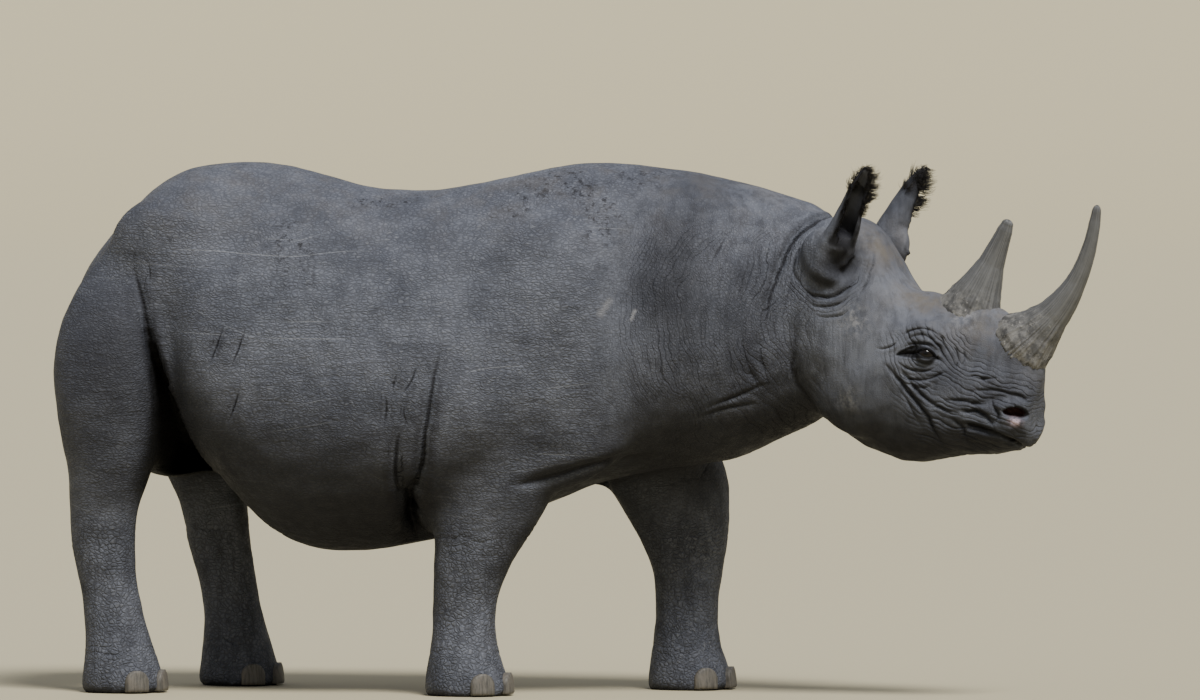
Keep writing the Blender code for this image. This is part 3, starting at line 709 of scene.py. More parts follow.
def shape_lids(cloth, side):
    """Lays the lids over an eyeball and opens the slit between them. Gives how dark they are painted: the
    almond's painted shade, and the slit's rim, partly dark lid margins and partly painted shade.
    """
    axes = eye_axes(side)
    local = (to_head(cloth.points) - eye_centre(side)) @ axes.T
    ring = np.linalg.norm(local[:, :2], axis=1)
    near = (ring < 0.16) & (local[:, 2] > -0.08)
    u, v, w = (local[near, k].copy() for k in range(3))
    span = np.hypot(u, v)
    # the lids lie on the ball, and the brow and cheek ease into them
    ball = np.sqrt(np.maximum((BALL + LID) ** 2 - span**2, 0))
    onto = bell(span, 0.034)
    w = w + (np.maximum(w, ball) - w) * np.clip(onto * 1.5, 0, 1)
    for along, half_length, up, half_height, out in LID_SWELLS:
        w += out * bell(v - up, half_height) * bell(u - along, half_length)
    shade = almond(u, v)
    w -= SHADE_DEPTH * shade * smoothstep(0.027, 0.040, span)
    w += crease_lids(cloth, np.flatnonzero(near), u, v)
    # the slit: its rim is drawn onto an almond, and what is inside it goes behind the ball
    reach = np.clip(1 - (u / SLIT_HALF) ** 2, 0, None)
    edge = np.where(v > 0, SLIT_UP, SLIT_DOWN) * reach
    inside = (edge - np.abs(v)) * (np.abs(u) < SLIT_HALF)
    inside = np.where(np.abs(u) >= SLIT_HALF, -1.0, inside)
    rim = (np.abs(inside) < RIM_HALF) & (np.abs(u) < SLIT_HALF * 0.985)
    v = np.where(rim, np.sign(v) * edge, v)
    hood = np.where(v > 0, HOOD_UP, HOOD_DOWN)
    # the slit's rim and corners are painted dark: dark lid margins, and painted shade in the slit
    shade = np.maximum(shade, smoothstep(-0.0065, -0.0020, inside) * (np.abs(u) < SLIT_HALF))
    w = np.where(rim, np.sqrt(np.maximum((BALL + LID * 0.75) ** 2 - u**2 - v**2, 0)) + hood, w)
    hidden = (inside >= RIM_HALF) & (w > 0)
    length = np.sqrt(u**2 + v**2 + w**2)
    shrink = np.where(hidden, 0.72 * BALL / np.maximum(length, 1e-6), 1.0)
    moved = np.stack([u, v, w], axis=1) * shrink[:, None]
    cloth.points[near] = from_head(moved @ axes + eye_centre(side))
    dark = np.zeros(len(local))
    dark[near] = shade
    return dark


# ---------------------------------------------------------------- nostrils and mouth
NOSTRIL = np.array((0.736, 0.093, 0.838))  # in the head's axes, on the left
NOSTRIL_OUT = np.array((0.66, 0.75, -0.04))
NOSTRIL_HALF = (0.042, 0.0168)  # half its length and half its height
NOSTRIL_TILT = math.radians(-8)
NOSTRIL_DEPTH, NOSTRIL_RIM, NOSTRIL_DIP = 0.034, 0.0065, 0.006  # the dip lies above the rim
NOSTRIL_BACK = 0.016  # how far the left one lies behind the right one
# The mouth's line on the left, in the head's axes, from its corner to the muzzle's middle
MOUTH = ((0.560, 0.116, 0.803), (0.605, 0.110, 0.797), (0.650, 0.104, 0.784), (0.690, 0.088, 0.768),
         (0.712, 0.060, 0.753), (0.718, 0.028, 0.742), (0.719, 0.0, 0.739))
MOUTH_DEPTH, LIP_RISE = 0.015, 0.004
MOUTH_LEVELS = ((0.56, 0.65, 0.719), (0.803, 0.784, 0.739))  # ahead, and its level there


def nostril_space(head, side):
    """Places along a nostril, across it and out of it, and the way out in the head's axes."""
    out = NOSTRIL_OUT * (1, side, 1)
    out /= np.linalg.norm(out)
    up = np.array((0.0, 0, 1)) - out * out[2]
    up /= np.linalg.norm(up)
    ahead = np.cross(up, out) * side
    ahead *= np.sign(ahead[0])
    along = ahead * math.cos(NOSTRIL_TILT) + up * math.sin(NOSTRIL_TILT)
    across = up * math.cos(NOSTRIL_TILT) - ahead * math.sin(NOSTRIL_TILT)
    centre = NOSTRIL * (1, side, 1) - (NOSTRIL_BACK * (side > 0), 0, 0)
    local = (head - centre) @ np.array((along, across, out)).T
    return local, out


def shape_nostril(cloth, side):
    """Sinks a nostril and raises its rim. Gives how deep each point lies in it, from 0 to 1."""
    head = to_head(cloth.points)
    local, out = nostril_space(head, side)
    u, v, w = local.T
    near = np.abs(w) < 0.07
    oval = np.hypot(u / NOSTRIL_HALF[0], (v + 0.10 * np.abs(u)) / NOSTRIL_HALF[1])
    hole = smoothstep(1.10, 0.55, oval) * near
    fade = smoothstep(1.0, 0.0, u / NOSTRIL_HALF[0])
    rim = bell(oval - 1.55, 0.45) * near * fade * (0.4 if side > 0 else 1.0)
    above = smoothstep(-0.5, 0.8, v / NOSTRIL_HALF[1])
    inward = out * (-1, -1, 1) + np.array((-0.25, 0, 0.35))
    inward /= np.linalg.norm(inward)
    head += (NOSTRIL_DEPTH * hole)[:, None] * inward
    head += (NOSTRIL_RIM * rim * (0.35 + 0.65 * above))[:, None] * out
    head -= (NOSTRIL_DIP * bell(oval - 2.7, 0.5) * near * above * fade)[:, None] * out
    cloth.points = from_head(head)
    return hole


def smooth_muzzle(cloth):
    """Evens the muzzle's front between the nostrils."""
    head = to_head(cloth.points)
    # the left nostril lies further back
    start = np.where(head[:, 1] > 0.03, 0.728, 0.752)
    front = smoothstep(0.0, 0.020, head[:, 0] - start)
    front = front * smoothstep(0.115, 0.075, np.abs(head[:, 2] - 0.835))
    smooth = cloth.relaxed(cloth.points, 30)
    cloth.points = cloth.points + (smooth - cloth.points) * front[:, None]


def shape_mouth(cloth):
    """Draws the mouth's line, under the pointed upper lip. Gives how near it each point is."""
    head = to_head(cloth.points)
    folded = head * (1, 0, 1) + np.abs(head) * (0, 1, 0)
    gap, share, _ = beside(curve(MOUTH), folded)
    groove = MOUTH_DEPTH * smoothstep(0.0, 0.15, share) * bell(gap, 0.0085)
    below = head[:, 2] < np.interp(folded[:, 0], *MOUTH_LEVELS)
    lips = LIP_RISE * bell(gap - 0.020, 0.011) * np.where(below, 0.6, 1.0) * smoothstep(0, 0.2, share)
    cloth.push(lips - groove)
    return bell(gap, 0.010) * smoothstep(0.0, 0.15, share)


# ---------------------------------------------------------------- ears
# The left ear, in the head's axes: its root, its tip, the way it opens, the bulb at its root
EAR_ROOT = np.array((0.158, 0.156, 1.245))
EAR_TIP = np.array((0.311, 0.203, 1.548))
EAR_OPENS_TO = np.array((0.72, 0.74, -0.10))
EAR_BULB, EAR_BULB_RADII = np.array((0.148, 0.150, 1.288)), (0.074, 0.058, 0.086)
EAR_FILLED = (0.02, 0.13, 0.23)  # where along the ear its slot is filled
# The left ear is turned further ahead, so its front margin flares at its foot
EAR_FLARE, EAR_FLARE_RADII = np.array((0.246, 0.155, 1.305)), (0.040, 0.030, 0.062)
EAR_TUCK = 0.014  # how far the front of its foot is drawn back
RIM_FROM = (0.62, 0.36)  # along the ear, where the hair of the front and of the rear margin starts
# Along the ear from its root: half length and half width of the section, and how far its slot
# reaches from the middle to either side, in turns
EAR = ((0.00, 0.060, 0.060, 0.03), (0.20, 0.058, 0.056, 0.05), (0.30, 0.054, 0.050, 0.09),
       (0.45, 0.049, 0.042, 0.13), (0.60, 0.043, 0.034, 0.17), (0.75, 0.036, 0.031, 0.20),
       (0.88, 0.026, 0.023, 0.23), (0.96, 0.015, 0.014, 0.25), (1.00, 0.007, 0.007, 0.25))


class Ear:
    """An ear's trumpet, in the row's frame."""

    def __init__(self, side):
        self.side = side
        turn = (1, side, 1)
        self.root, self.tip = from_head([EAR_ROOT * turn, EAR_TIP * turn])
        self.length = np.linalg.norm(self.tip - self.root)
        self.axis = (self.tip - self.root) / self.length
        opens = (EAR_OPENS_TO * turn) @ HEAD_AXES
        opens -= self.axis * (opens @ self.axis)
        self.opens = opens / np.linalg.norm(opens)
        self.across = np.cross(self.axis, self.opens)

    def section(self, along):
        """The half length, the half width and the slot's reach along the ear."""
        return tuple(np.interp(along, *zip(*[(row[0], row[k]) for row in EAR])) for k in (1, 2, 3))

    def blobs(self):
        """The bulb at the ear's root, what closes the foot of its slot, and the left ear's flare."""
        turn = (1, self.side, 1)
        yield from_head([EAR_BULB * turn])[0], HEAD_AXES, EAR_BULB_RADII
        if self.side > 0:
            yield from_head([EAR_FLARE])[0], HEAD_AXES, EAR_FLARE_RADII
        for along in EAR_FILLED:
            centre = self.root + self.axis * self.length * along
            half_length, half_width, _ = self.section(along)
            radii = (half_length + 0.003, half_width + 0.003, 0.048)
            yield centre, (self.opens, self.across, self.axis), radii

    def around(self, points):
        """How far along the ear points are, their distance from its axis, and their turn."""
        off = points - self.root
        along = off @ self.axis / self.length
        half_length, half_width, _ = self.section(np.clip(along, 0, 1))
        a, b = off @ self.opens / half_length, off @ self.across / half_width
        return along, np.hypot(a, b), np.arctan2(b, a) / (2 * math.pi)

    def ahead(self, turn):
        """A turn about the ear, counted so that its front margin's is above 0."""
        return -self.side * turn

    def upper(self, points):
        """From 0 on the head to 1 on the ear's upper part."""
        along, far, _ = self.around(points)
        return smoothstep(0.15, 0.45, along) * (far < 1.7) * (along < 1.2)

    def inside(self, points):
        """From 0 to 1, how far into the trumpet each point lies."""
        along, far, _ = self.around(points)
        return smoothstep(0.90, 0.78, far) * smoothstep(0.22, 0.38, along) * (along < 1.02)

    def foot(self, points):
        """From 0 to 1 in the foot of the slot, painted dark as shade, which narrows to a point at its
        front margin.
        """
        along, far, turn = self.around(points)
        ahead = self.ahead(turn)
        slot = self.section(np.clip(along, 0, 1))[2]
        behind = np.interp(along, (0.16, 0.42), (slot.max() * 0.45, -slot.max() * 0.45))
        dark = smoothstep(-0.03, 0.02, ahead - behind) * smoothstep(0.04, 0.01, ahead - slot)
        dark *= smoothstep(0.15, 0.21, along) * smoothstep(0.55, 0.45, along) * (far < 1.15)
        floor = smoothstep(0.98, 0.88, far) * smoothstep(0.24, 0.30, along)
        return np.maximum(dark, floor * smoothstep(0.60, 0.44, along))

    def rim(self, points):
        """From 0 to 1, how near each point is to the free margins of the ear's upper part."""
        along, far, turn = self.around(points)
        slot = self.section(np.clip(along, 0, 1))[2]
        edge = smoothstep(0.070, 0.025, np.abs(turn) - slot) * (far > 0.55) * (far < 1.5)
        edge = np.maximum(edge, smoothstep(0.68, 0.78, along) * (far > 0.60) * (far < 2))
        edge = np.maximum(edge, (along > 0.97) * (far < 2))
        lowest = np.where(self.ahead(turn) > 0, *RIM_FROM)
        return edge * smoothstep(lowest - 0.12, lowest, along) * (along < 1.1)


def tuck_ears(cloth):
    """Draws the front of each ear's foot back, so that its slot ends in a point."""
    for side in SIDES.values():
        ear = Ear(side)
        along, far, turn = ear.around(cloth.points)
        ahead = smoothstep(0.1, 0.8, far * np.cos(2 * math.pi * turn)) * (far < 1.8)
        back = EAR_TUCK * bell(along - 0.25, 0.14) * ahead
        cloth.points -= back[:, None] * ear.opens


# ---------------------------------------------------------------- lines of fine wrinkles
# The cheek's crease and the lips, ahead and up, which the wrinkles of the face run beside
CREASE_AT, CREASE_TO = np.array((0.355, 0.975)), np.array((0.502, 0.733))
LIP_AT, LIP_TO = np.array((0.560, 0.803)), np.array((0.720, 0.750))
EYE_RINGS_OUT = 0.125  # from here to the eye the wrinkles are rings about it
BEND = 0.018  # how softly the families of lines run into each other


def left_of(start, end, flat):
    """How far places lie to the left of a straight line."""
    run = (end - start) / np.linalg.norm(end - start)
    off = flat - start
    return run[0] * off[:, 1] - run[1] * off[:, 0]


def face_lines(head):
    """A height map of the face whose contours are its wrinkles, in metres across them."""
    flat = head[:, [0, 2]]
    from_crease = left_of(CREASE_AT, CREASE_TO, flat)
    from_lip = left_of(LIP_AT, LIP_TO, flat)
    lower = -BEND * np.logaddexp(-from_crease / BEND, -from_lip / BEND)
    ring = np.hypot((head[:, 0] - EYE_AHEAD + 0.004) / 1.12, head[:, 2] - EYE_LEVEL + 0.002)
    return BEND * np.logaddexp(lower / BEND, (EYE_RINGS_OUT - ring) / BEND)


# Up, and how far ahead the nape's fold lies there
NAPE_AT = ((0.84, 0.92, 1.03, 1.11, 1.20, 1.270, 1.332, 1.369, 1.43),
           (0.075, 0.03, -0.010, -0.004, 0.008, 0.022, 0.039, 0.058, 0.105))
EAR_RINGS_AT = (0.165, 1.262)  # the middle of the rings under the ear
# From one wrinkle to the next
FACE_PERIOD, NECK_PERIOD, EAR_PERIOD, LEG_PERIOD = 0.0135, 0.0150, 0.0120, 0.021
LEG_JOINTS = ((0.46, 0.060), (0.125, 0.035))  # heights, and how far the rings reach from them
LEG_TOP = 0.62  # below here the hide is a leg's
FACE_GROOVE, NECK_GROOVE, LEG_GROOVE = 0.0030, 0.0022, 0.0032  # how deep the wrinkles are


def masks_of(cloth):
    """How much of each kind of hide there is at each point."""
    ahead, out, up = to_head(cloth.points).T
    round_eye = np.hypot((ahead - EYE_AHEAD) / 1.12, up - EYE_LEVEL)
    face = smoothstep(0.33, 0.42, ahead + 0.25 * (up - 0.95)) * smoothstep(1.12, 1.05, up)
    lower = smoothstep(1.03, 0.95, up + 0.25 * (ahead - 0.6))
    face *= np.maximum(smoothstep(0.15, 0.10, round_eye), lower)
    round_ear = np.hypot(ahead - EAR_RINGS_AT[0], up - EAR_RINGS_AT[1])
    ear = bell(round_ear - 0.105, 0.030) * smoothstep(1.25, 1.19, up)
    ear *= smoothstep(0.08, 0.12, np.abs(out))
    neck = smoothstep(-0.50, -0.30, ahead) * smoothstep(0.32, 0.02, ahead) * (1 - face)
    neck *= smoothstep(1.53, 1.36, up)
    leg = smoothstep(LEG_TOP, LEG_TOP - 0.20, cloth.points[:, 2])
    flank = (1 - neck) * (1 - face) * (1 - leg) * smoothstep(-0.2, -0.5, ahead)
    return {"face": face, "neck": neck, "leg": leg, "flank": flank, "ear_rings": ear}


def per_line(phase, seed):
    """A depth for each line of a family, from faint to full."""
    depths = np.random.default_rng(seed).uniform(0.25, 1.0, 256)
    return depths[np.round(phase).astype(int) & 255]


def grooves(phase, width):
    """1 in the middle of each line of a family, falling away beside it."""
    return bell(phase - np.round(phase), width)


def wrinkle(cloth, masks):
    """The finer wrinkles of the face, the neck, the legs and under the ears, and what paints them."""
    points = cloth.points
    head = to_head(points)
    sway = 0.75 * noise(points, 0.075, 8) + 0.35 * noise(points, 0.030, 13)
    # the face's wrinkles, and the rings under the ears
    ear_share = masks["ear_rings"] > masks["face"]
    rings = np.hypot(head[:, 0] - EAR_RINGS_AT[0], head[:, 2] - EAR_RINGS_AT[1]) / EAR_PERIOD
    lines = np.where(ear_share, rings, face_lines(head) / FACE_PERIOD) + sway
    patchy = np.clip(0.75 + 0.7 * noise(points, 0.05, 9), 0.1, 1.1)
    depth = per_line(lines, 31) * patchy * np.maximum(masks["face"], masks["ear_rings"])
    ahead = smoothstep(0.95, 0.55, cloth.normals() @ HEAD_AXES[0])
    heights = -FACE_GROOVE * depth * grooves(lines, 0.20) * (0.35 + 0.65 * ahead)
    masks["lines"], masks["line_depth"] = lines, depth
    # the neck's wrinkles follow the nape's fold
    nape = np.interp(head[:, 2], *NAPE_AT)
    necks = (head[:, 0] - nape) / NECK_PERIOD
    necks = necks + 1.9 * noise(points, 0.16, 10) + 0.6 * noise(points, 0.06, 14)
    patchy = np.clip(0.70 + 0.8 * noise(points * (1, 1, 0.5), 0.085, 12), 0.15, 1.1)
    behind_jaw = smoothstep(0.20, 0.08, head[:, 0]) * smoothstep(1.42, 1.30, head[:, 2])
    depth = per_line(necks, 32) * patchy * masks["neck"] * behind_jaw
    heights -= NECK_GROOVE * depth * grooves(necks / 2, 0.17)
    # the legs' lie in rings about their joints
    legs = points[:, 2] / LEG_PERIOD + 0.9 * noise(points, 0.11, 16) + 0.3 * noise(points, 0.04, 17)
    joint = sum(bell(points[:, 2] - at, reach) for at, reach in LEG_JOINTS)
    patchy = np.clip(0.45 + 1.1 * noise(points, 0.10, 18), 0, 1.1)
    leg_depth = per_line(legs, 33) * patchy * np.clip(joint, 0, 1) * masks["leg"]
    heights -= LEG_GROOVE * leg_depth * grooves(legs, 0.17)
    low = points[:, 2] < LEG_TOP
    masks["rings"], masks["ring_depth"] = np.where(low, legs, necks), np.where(low, leg_depth, depth)
    cloth.push(heights)


# ---------------------------------------------------------------- markings, painted shade and painted highlight
# Places on the head, as ahead, out, up and reach, that are dusted brown or rubbed pale
DUSTED = ((0.60, 0.0, 1.13, 0.15), (0.74, 0.0, 1.04, 0.09), (0.43, 0.05, 1.16, 0.12),
          (0.30, 0.05, 1.32, 0.10), (0.70, 0.06, 1.01, 0.08))
PALE = ((0.255, 0.185, 1.105, 0.045), (0.235, 0.185, 0.870, 0.035), (0.30, 0.10, 1.36, 0.05),
        (0.56, 0.06, 1.115, 0.05))
# Where it is painted lighter, in the same terms: partly pale dust, and partly painted highlight where the
# light falls brightest
LIGHTER = ((0.27, 0.17, 1.00, 0.15), (0.36, 0.08, 1.18, 0.12), (0.16, 0.12, 1.30, 0.10),
           (0.62, 0.0, 1.14, 0.12))
# Painted shade: where the hide is painted dark for the shade that falls there, seen from the side: along,
# up, half length, half height, how dark
PAINTED_SHADE = ((-1.37, 0.98, 0.19, 0.26, 0.96), (-1.22, 0.84, 0.12, 0.16, 0.88),
          (-0.80, 0.72, 0.30, 0.11, 0.50), (-0.55, 0.46, 0.20, 0.20, 0.70),
          (0.31, 1.20, 0.13, 0.28, 0.86), (0.50, 1.08, 0.14, 0.20, 0.52),
          (0.25, 0.65, 0.16, 0.12, 0.90), (-0.93, 1.47, 0.26, 0.10, 0.16),
          (0.62, 0.77, 0.16, 0.08, 1.10))
# The same painted shade on the head, in its own axes
PAINTED_SHADE_HEAD = ((0.68, 0.87, 0.12, 0.09, 0.55), (0.60, 0.760, 0.13, 0.040, 0.90),
               (0.50, 0.92, 0.12, 0.14, 0.35), (0.38, 0.705, 0.26, 0.075, 1.25),
               (0.205, 1.258, 0.044, 0.044, 1.20))
CAVITY_DEPTH = 0.004  # of a hollow that counts in full


def marks_of(cloth):
    """How far each marking and the painted shade cover each point, from 0 to 1, and how hollow the hide
    is there.
    """
    head = to_head(cloth.points)
    folded = head * (1, 0, 1) + np.abs(head) * (0, 1, 0)
    names = ("dust", "pale", "lighter", "ear_foot", "painted_shade", "ear_hollow", "ear_rim", "pink")
    marks = {name: np.zeros(len(head)) for name in names}
    # painted shade on the body and on the head
    for places, spots in ((cloth.points, PAINTED_SHADE), (head, PAINTED_SHADE_HEAD)):
        for along, up, half_length, half_height, share in spots:
            spot = bell(places[:, 0] - along, half_length)
            spot = spot * bell(places[:, 2] - up, half_height)
            marks["painted_shade"] = np.maximum(marks["painted_shade"], share * spot)
    for name, spots in (("dust", DUSTED), ("pale", PALE), ("lighter", LIGHTER)):
        for *centre, reach in spots:
            far = np.linalg.norm(folded - np.array(centre), axis=1)
            marks[name] = np.maximum(marks[name], bell(far, reach))
    for side in SIDES.values():
        ear = Ear(side)
        spot = nostril_space(head, side)[0]
        pink = bell(spot[:, 0] + 0.003, 0.017) * bell(spot[:, 1] + 0.026, 0.010)
        found = {"ear_hollow": ear.inside(cloth.points), "ear_foot": ear.foot(cloth.points),
                 "ear_rim": ear.rim(cloth.points), "pink": pink * (np.abs(spot[:, 2]) < 0.05)}
        for name, values in found.items():
            marks[name] = np.maximum(marks[name], values)
    sunk = cloth.relaxed(cloth.points, 4) - cloth.points
    marks["cavity"] = np.clip((sunk * cloth.normals()).sum(axis=1) / CAVITY_DEPTH, -1, 1)
    return marks


# ---------------------------------------------------------------- the whole hide
STANDING = 0.0035  # what is lower than this stands flat on the ground


def soften_all(cloth):
    """Smooths the whole hide, and the thin ears less."""
    woven_points = cloth.points.copy()
    cloth.soften(SMOOTHING)
    smooth = cloth.points
    cloth.points = woven_points
    cloth.soften(EAR_SMOOTHING)
    upper = sum(Ear(side).upper(woven_points) for side in SIDES.values())
    cloth.points = smooth + (cloth.points - smooth) * upper[:, None]


def make_hide():
    """The whole hide, with a mask for each of its markings."""
    blobs = [blob for side in SIDES.values() for blob in Ear(side).blobs()]
    piece = woven("hide", [*FLESH, "eye_right", "eye_left"], blobs, GRID)
    cloth = Cloth(piece.data)
    soften_all(cloth)
    tuck_ears(cloth)
    cleft = cleave_flank(cloth)
    relieve(cloth)
    relieve_crown(cloth)
    cloth.points = cloth.relaxed(cloth.points, 1)
    fold_body(cloth)
    fold_head(cloth)
    masks = masks_of(cloth)
    wrinkle(cloth, masks)
    mouth = shape_mouth(cloth)
    nostril, lids = np.zeros(len(cloth.points)), np.zeros(len(cloth.points))
    for side in SIDES.values():
        nostril = np.maximum(nostril, shape_nostril(cloth, side))
        lids = np.maximum(lids, shape_lids(cloth, side))
    smooth_muzzle(cloth)
    standing = cloth.points[:, 2] < STANDING
    cloth.points[standing, 2] = 0.0
    set_places(piece.data, cloth.points)
    masks.update(cleft=cleft, lids=lids, fold=cloth.fold, fold_depth=cloth.fold_depth,
                 nostril=nostril, mouth=mouth)
    masks.update(marks_of(cloth))
    for name, values in masks.items():
        note(piece.data, name, values)
    return piece


# ---------------------------------------------------------------- horns
# The root is in the head's axes. A horn rises at the first of two angles where it starts, and at
# the second at its tip. Sections are shares of its length, and half thicknesses.
FRONT_HORN = {
    "root": (0.692, 0.0, 1.022), "rises": (38, 82), "length": 0.510, "flatness": 0.86,
    "sections": ((0.0, 0.100), (0.06, 0.100), (0.12, 0.088), (0.19, 0.070), (0.30, 0.052),
                 (0.42, 0.041), (0.53, 0.031), (0.66, 0.025), (0.78, 0.0205), (0.89, 0.0175),
                 (0.97, 0.013), (1.0, 0.005)),
}
REAR_HORN = {
    "root": (0.530, 0.0, 1.100), "rises": (63, 67), "length": 0.328, "flatness": 0.72,
    "sections": ((0.0, 0.114), (0.08, 0.104), (0.16, 0.091), (0.37, 0.063), (0.57, 0.041), (0.74, 0.031),
                 (0.90, 0.0235), (0.965, 0.017), (1.0, 0.007)),
}
HORN_STEPS = 15  # of its bow, as in the solid
HORN_AROUND, HORN_RINGS = 160, 150
TIP_FROM = 0.95  # where the horn rounds off
# How deep its grooves and its rings of growth are, and how much deeper at its base
GROOVED, GROWN = (0.0004, 0.0026), (0.0005, 0.0022)
LUMPS_OUT = 0.004  # how far they stand out at most


def make_horn(name, horn):
    """A horn on the same bow as its solid, with the grooves of its fibres and rings of growth."""
    place, spine = np.array(horn["root"]), []
    grid = np.arange(HORN_STEPS + 1) / HORN_STEPS
    for along in grid:
        bow = along * along * (3 - 2 * along)
        slope = math.radians(horn["rises"][0] + (horn["rises"][1] - horn["rises"][0]) * bow)
        spine.append((place.copy(), slope))
        ahead = np.array((math.cos(slope), 0, math.sin(slope)))
        place = place + ahead * horn["length"] / HORN_STEPS
    shares = 1 - np.linspace(1, 0, HORN_RINGS) ** 1.5
    centres, slopes = np.array([c for c, _ in spine]), [s for _, s in spine]
    stations, radii = (np.array(v) for v in zip(*horn["sections"]))
    turns = np.linspace(0, 2 * math.pi, HORN_AROUND, endpoint=False)
    rings, grain = [], []
    for share in shares:
        centre = np.array([np.interp(share, grid, centres[:, k]) for k in range(3)])
        slope = np.interp(share, grid, slopes)
        across = np.array((-math.sin(slope), 0, math.cos(slope)))
        radius = np.interp(min(share, TIP_FROM), stations, radii)
        radius *= math.sqrt(max(1 - (max(share - TIP_FROM, 0) / (1 - TIP_FROM)) ** 2, 0.0004))
        base = 1 - smoothstep(0.05, 0.42, np.array([share]))[0]
        level = np.full(len(turns), share * 1.1)
        spot = np.stack([np.cos(turns) * 3, np.sin(turns) * 3, level], axis=1)
        fibres = noise(spot * (5, 5, 1.5), 1.0, 21) + 0.6 * noise(spot * (11, 11, 3), 1.0, 22)
        lumps = noise(spot * (1.0, 1.0, 14), 1.0, 23) + 0.5 * noise(spot * (2.5, 2.5, 30), 1.0, 24)
        depth = (GROOVED[0] + GROOVED[1] * base) * min(1.0, radius / 0.012)
        grown = radius + depth * fibres + (GROWN[0] + GROWN[1] * base) * lumps - 0.5 * depth
        grown = np.minimum(grown, radius + LUMPS_OUT)
        ring = centre + np.outer(grown * np.cos(turns), across)
        ring[:, 1] += grown * np.sin(turns) * horn["flatness"]
        rings.append(from_head(ring))
        grain.append(fibres)
    piece = lofted(name, rings)
    note(piece.data, "rise", np.repeat(shares, HORN_AROUND))
    note(piece.data, "fibres", np.concatenate(grain))
    return piece


# ---------------------------------------------------------------- eyeballs and toenails
CORNEA = 0.0022  # how far it stands out of the ball
CORNEA_HALF = 0.52  # how wide it is, in radians from the gaze


def make_eyeball(name, side):
    """A ball with a cornea that stands a little proud, its own +Z along the gaze."""
    mesh = bmesh.new()
    bmesh.ops.create_uvsphere(mesh, u_segments=48, v_segments=32, radius=BALL)
    for v in mesh.verts:
        tilt = math.acos(max(-1.0, min(1.0, v.co.z / BALL)))
        v.co *= 1 + CORNEA / BALL * math.exp(-((tilt / CORNEA_HALF) ** 4))
    piece = finished(name, mesh)
    axes = eye_axes(side) @ HEAD_AXES
    turned = Matrix([list(row) for row in axes]).transposed().to_4x4()
    turned.translation = Vector(from_head([eye_centre(side)])[0])
    piece.matrix_world = turned
    return piece


NAIL_RINGS, NAIL_POINTS = 12, 28
NARROWS_FROM = 0.45  # of its height
NAIL_THICK, NAIL_SUNK = 0.014, 0.030  # how far its edge stands out, and how deep its back lies


def make_nail(name, foot):
    """A toenail: a shield of horn, thick at its edge and thin where the hide grips it."""
    low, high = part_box(name)
    centre = (low + high) / 2
    out = Vector((centre.x - foot.x, centre.y - foot.y, 0))
    out.normalize()
    across = Vector((-out.y, out.x, 0))
    corners = [v.co for v in frame["nodes"][name].data.vertices]
    reach = max((c - foot).dot(out) for c in corners)
    half_width = max(abs((c - centre).dot(across)) for c in corners)
    height = high.z - low.z
    rings = []
    for k in range(NAIL_RINGS + 1):
        rise = k / NAIL_RINGS
        narrow = math.sqrt(max(1 - (max(rise - NARROWS_FROM, 0) / 0.57) ** 2, 0.0))
        proud = 1 - 0.55 * rise**1.6
        edge = min(1.0, rise / 0.10)
        ring = []
        for j in range(NAIL_POINTS):
            turn = 2 * math.pi * j / NAIL_POINTS
            c, s = math.cos(turn), math.sin(turn)
            c, s = (math.copysign(abs(v) ** 0.8, v) for v in (c, s))
            spread_out = half_width * narrow * s * (0.97 + 0.03 * edge)
            bow = (half_width**2 - (half_width * s * narrow) ** 2) / half_width * 0.10
            lift = reach - 0.010 - 0.004 + NAIL_THICK * proud * (0.75 + 0.25 * edge) * max(c, 0)
            deep = lift + bow * 0.5 - (NAIL_SUNK if c < 0 else 0) * abs(c)
            place = foot + out * deep + across * spread_out
            ring.append((place.x, place.y, low.z + height * rise))
        rings.append(ring)
    return lofted(name + "_horn", rings)


# ---------------------------------------------------------------- hairs
class Hairs:
    """Many tapering hairs joined into one mesh, each with its patch on the OFBake map."""

    SIDES_OF_A_HAIR = 3
    PATCH = 0.003  # how large a hair's patch is on the map

    def __init__(self, name):
        self.name = name
        self.points, self.faces, self.patches = [], [], []

    def grow(self, root, way, bend, length, width, patch, segments=5):
        """A hair from its root, first along way and drawn over towards bend."""
        way, bend = np.asarray(way, float), np.asarray(bend, float)
        place, first = np.asarray(root, float), len(self.points)
        sides = self.SIDES_OF_A_HAIR
        for k in range(segments + 1):
            share = k / segments
            heading = way * (1 - share) + bend * share
            heading /= np.linalg.norm(heading)
            across = np.cross(heading, (0.31, 0.52, 0.79))
            across /= np.linalg.norm(across)
            other = np.cross(heading, across)
            thick = width / 2 * (1 - 0.86 * share**1.4)
            for j in range(sides):
                turn = 2 * math.pi * j / sides
                self.points.append(place + thick * (across * math.cos(turn) + other * math.sin(turn)))
                spot = self.PATCH * 0.5
                self.patches.append((patch[0] + spot * math.cos(turn), patch[1] + spot * (2 * share - 1)))
            place = place + heading * length / segments
        for k in range(segments):
            for j in range(sides):
                after = (j + 1) % sides
                near, far = first + k * sides, first + (k + 1) * sides
                self.faces.append((near + j, near + after, far + after, far + j))
        self.faces.append(tuple(first + j for j in reversed(range(sides))))
        self.faces.append(tuple(first + segments * sides + j for j in range(sides)))

    def made(self):
        """The hairs as one piece."""
        data = bpy.data.meshes.new(self.name)
        data.from_pydata([tuple(p) for p in self.points], [], self.faces)
        layer = data.uv_layers.new(name="OFBake")
        index = np.empty(len(data.loops), np.int32)
        data.loops.foreach_get("vertex_index", index)
        layer.data.foreach_set("uv", np.array(self.patches, np.float32)[index].ravel())
        data.shade_smooth()
        return linked(self.name, data)


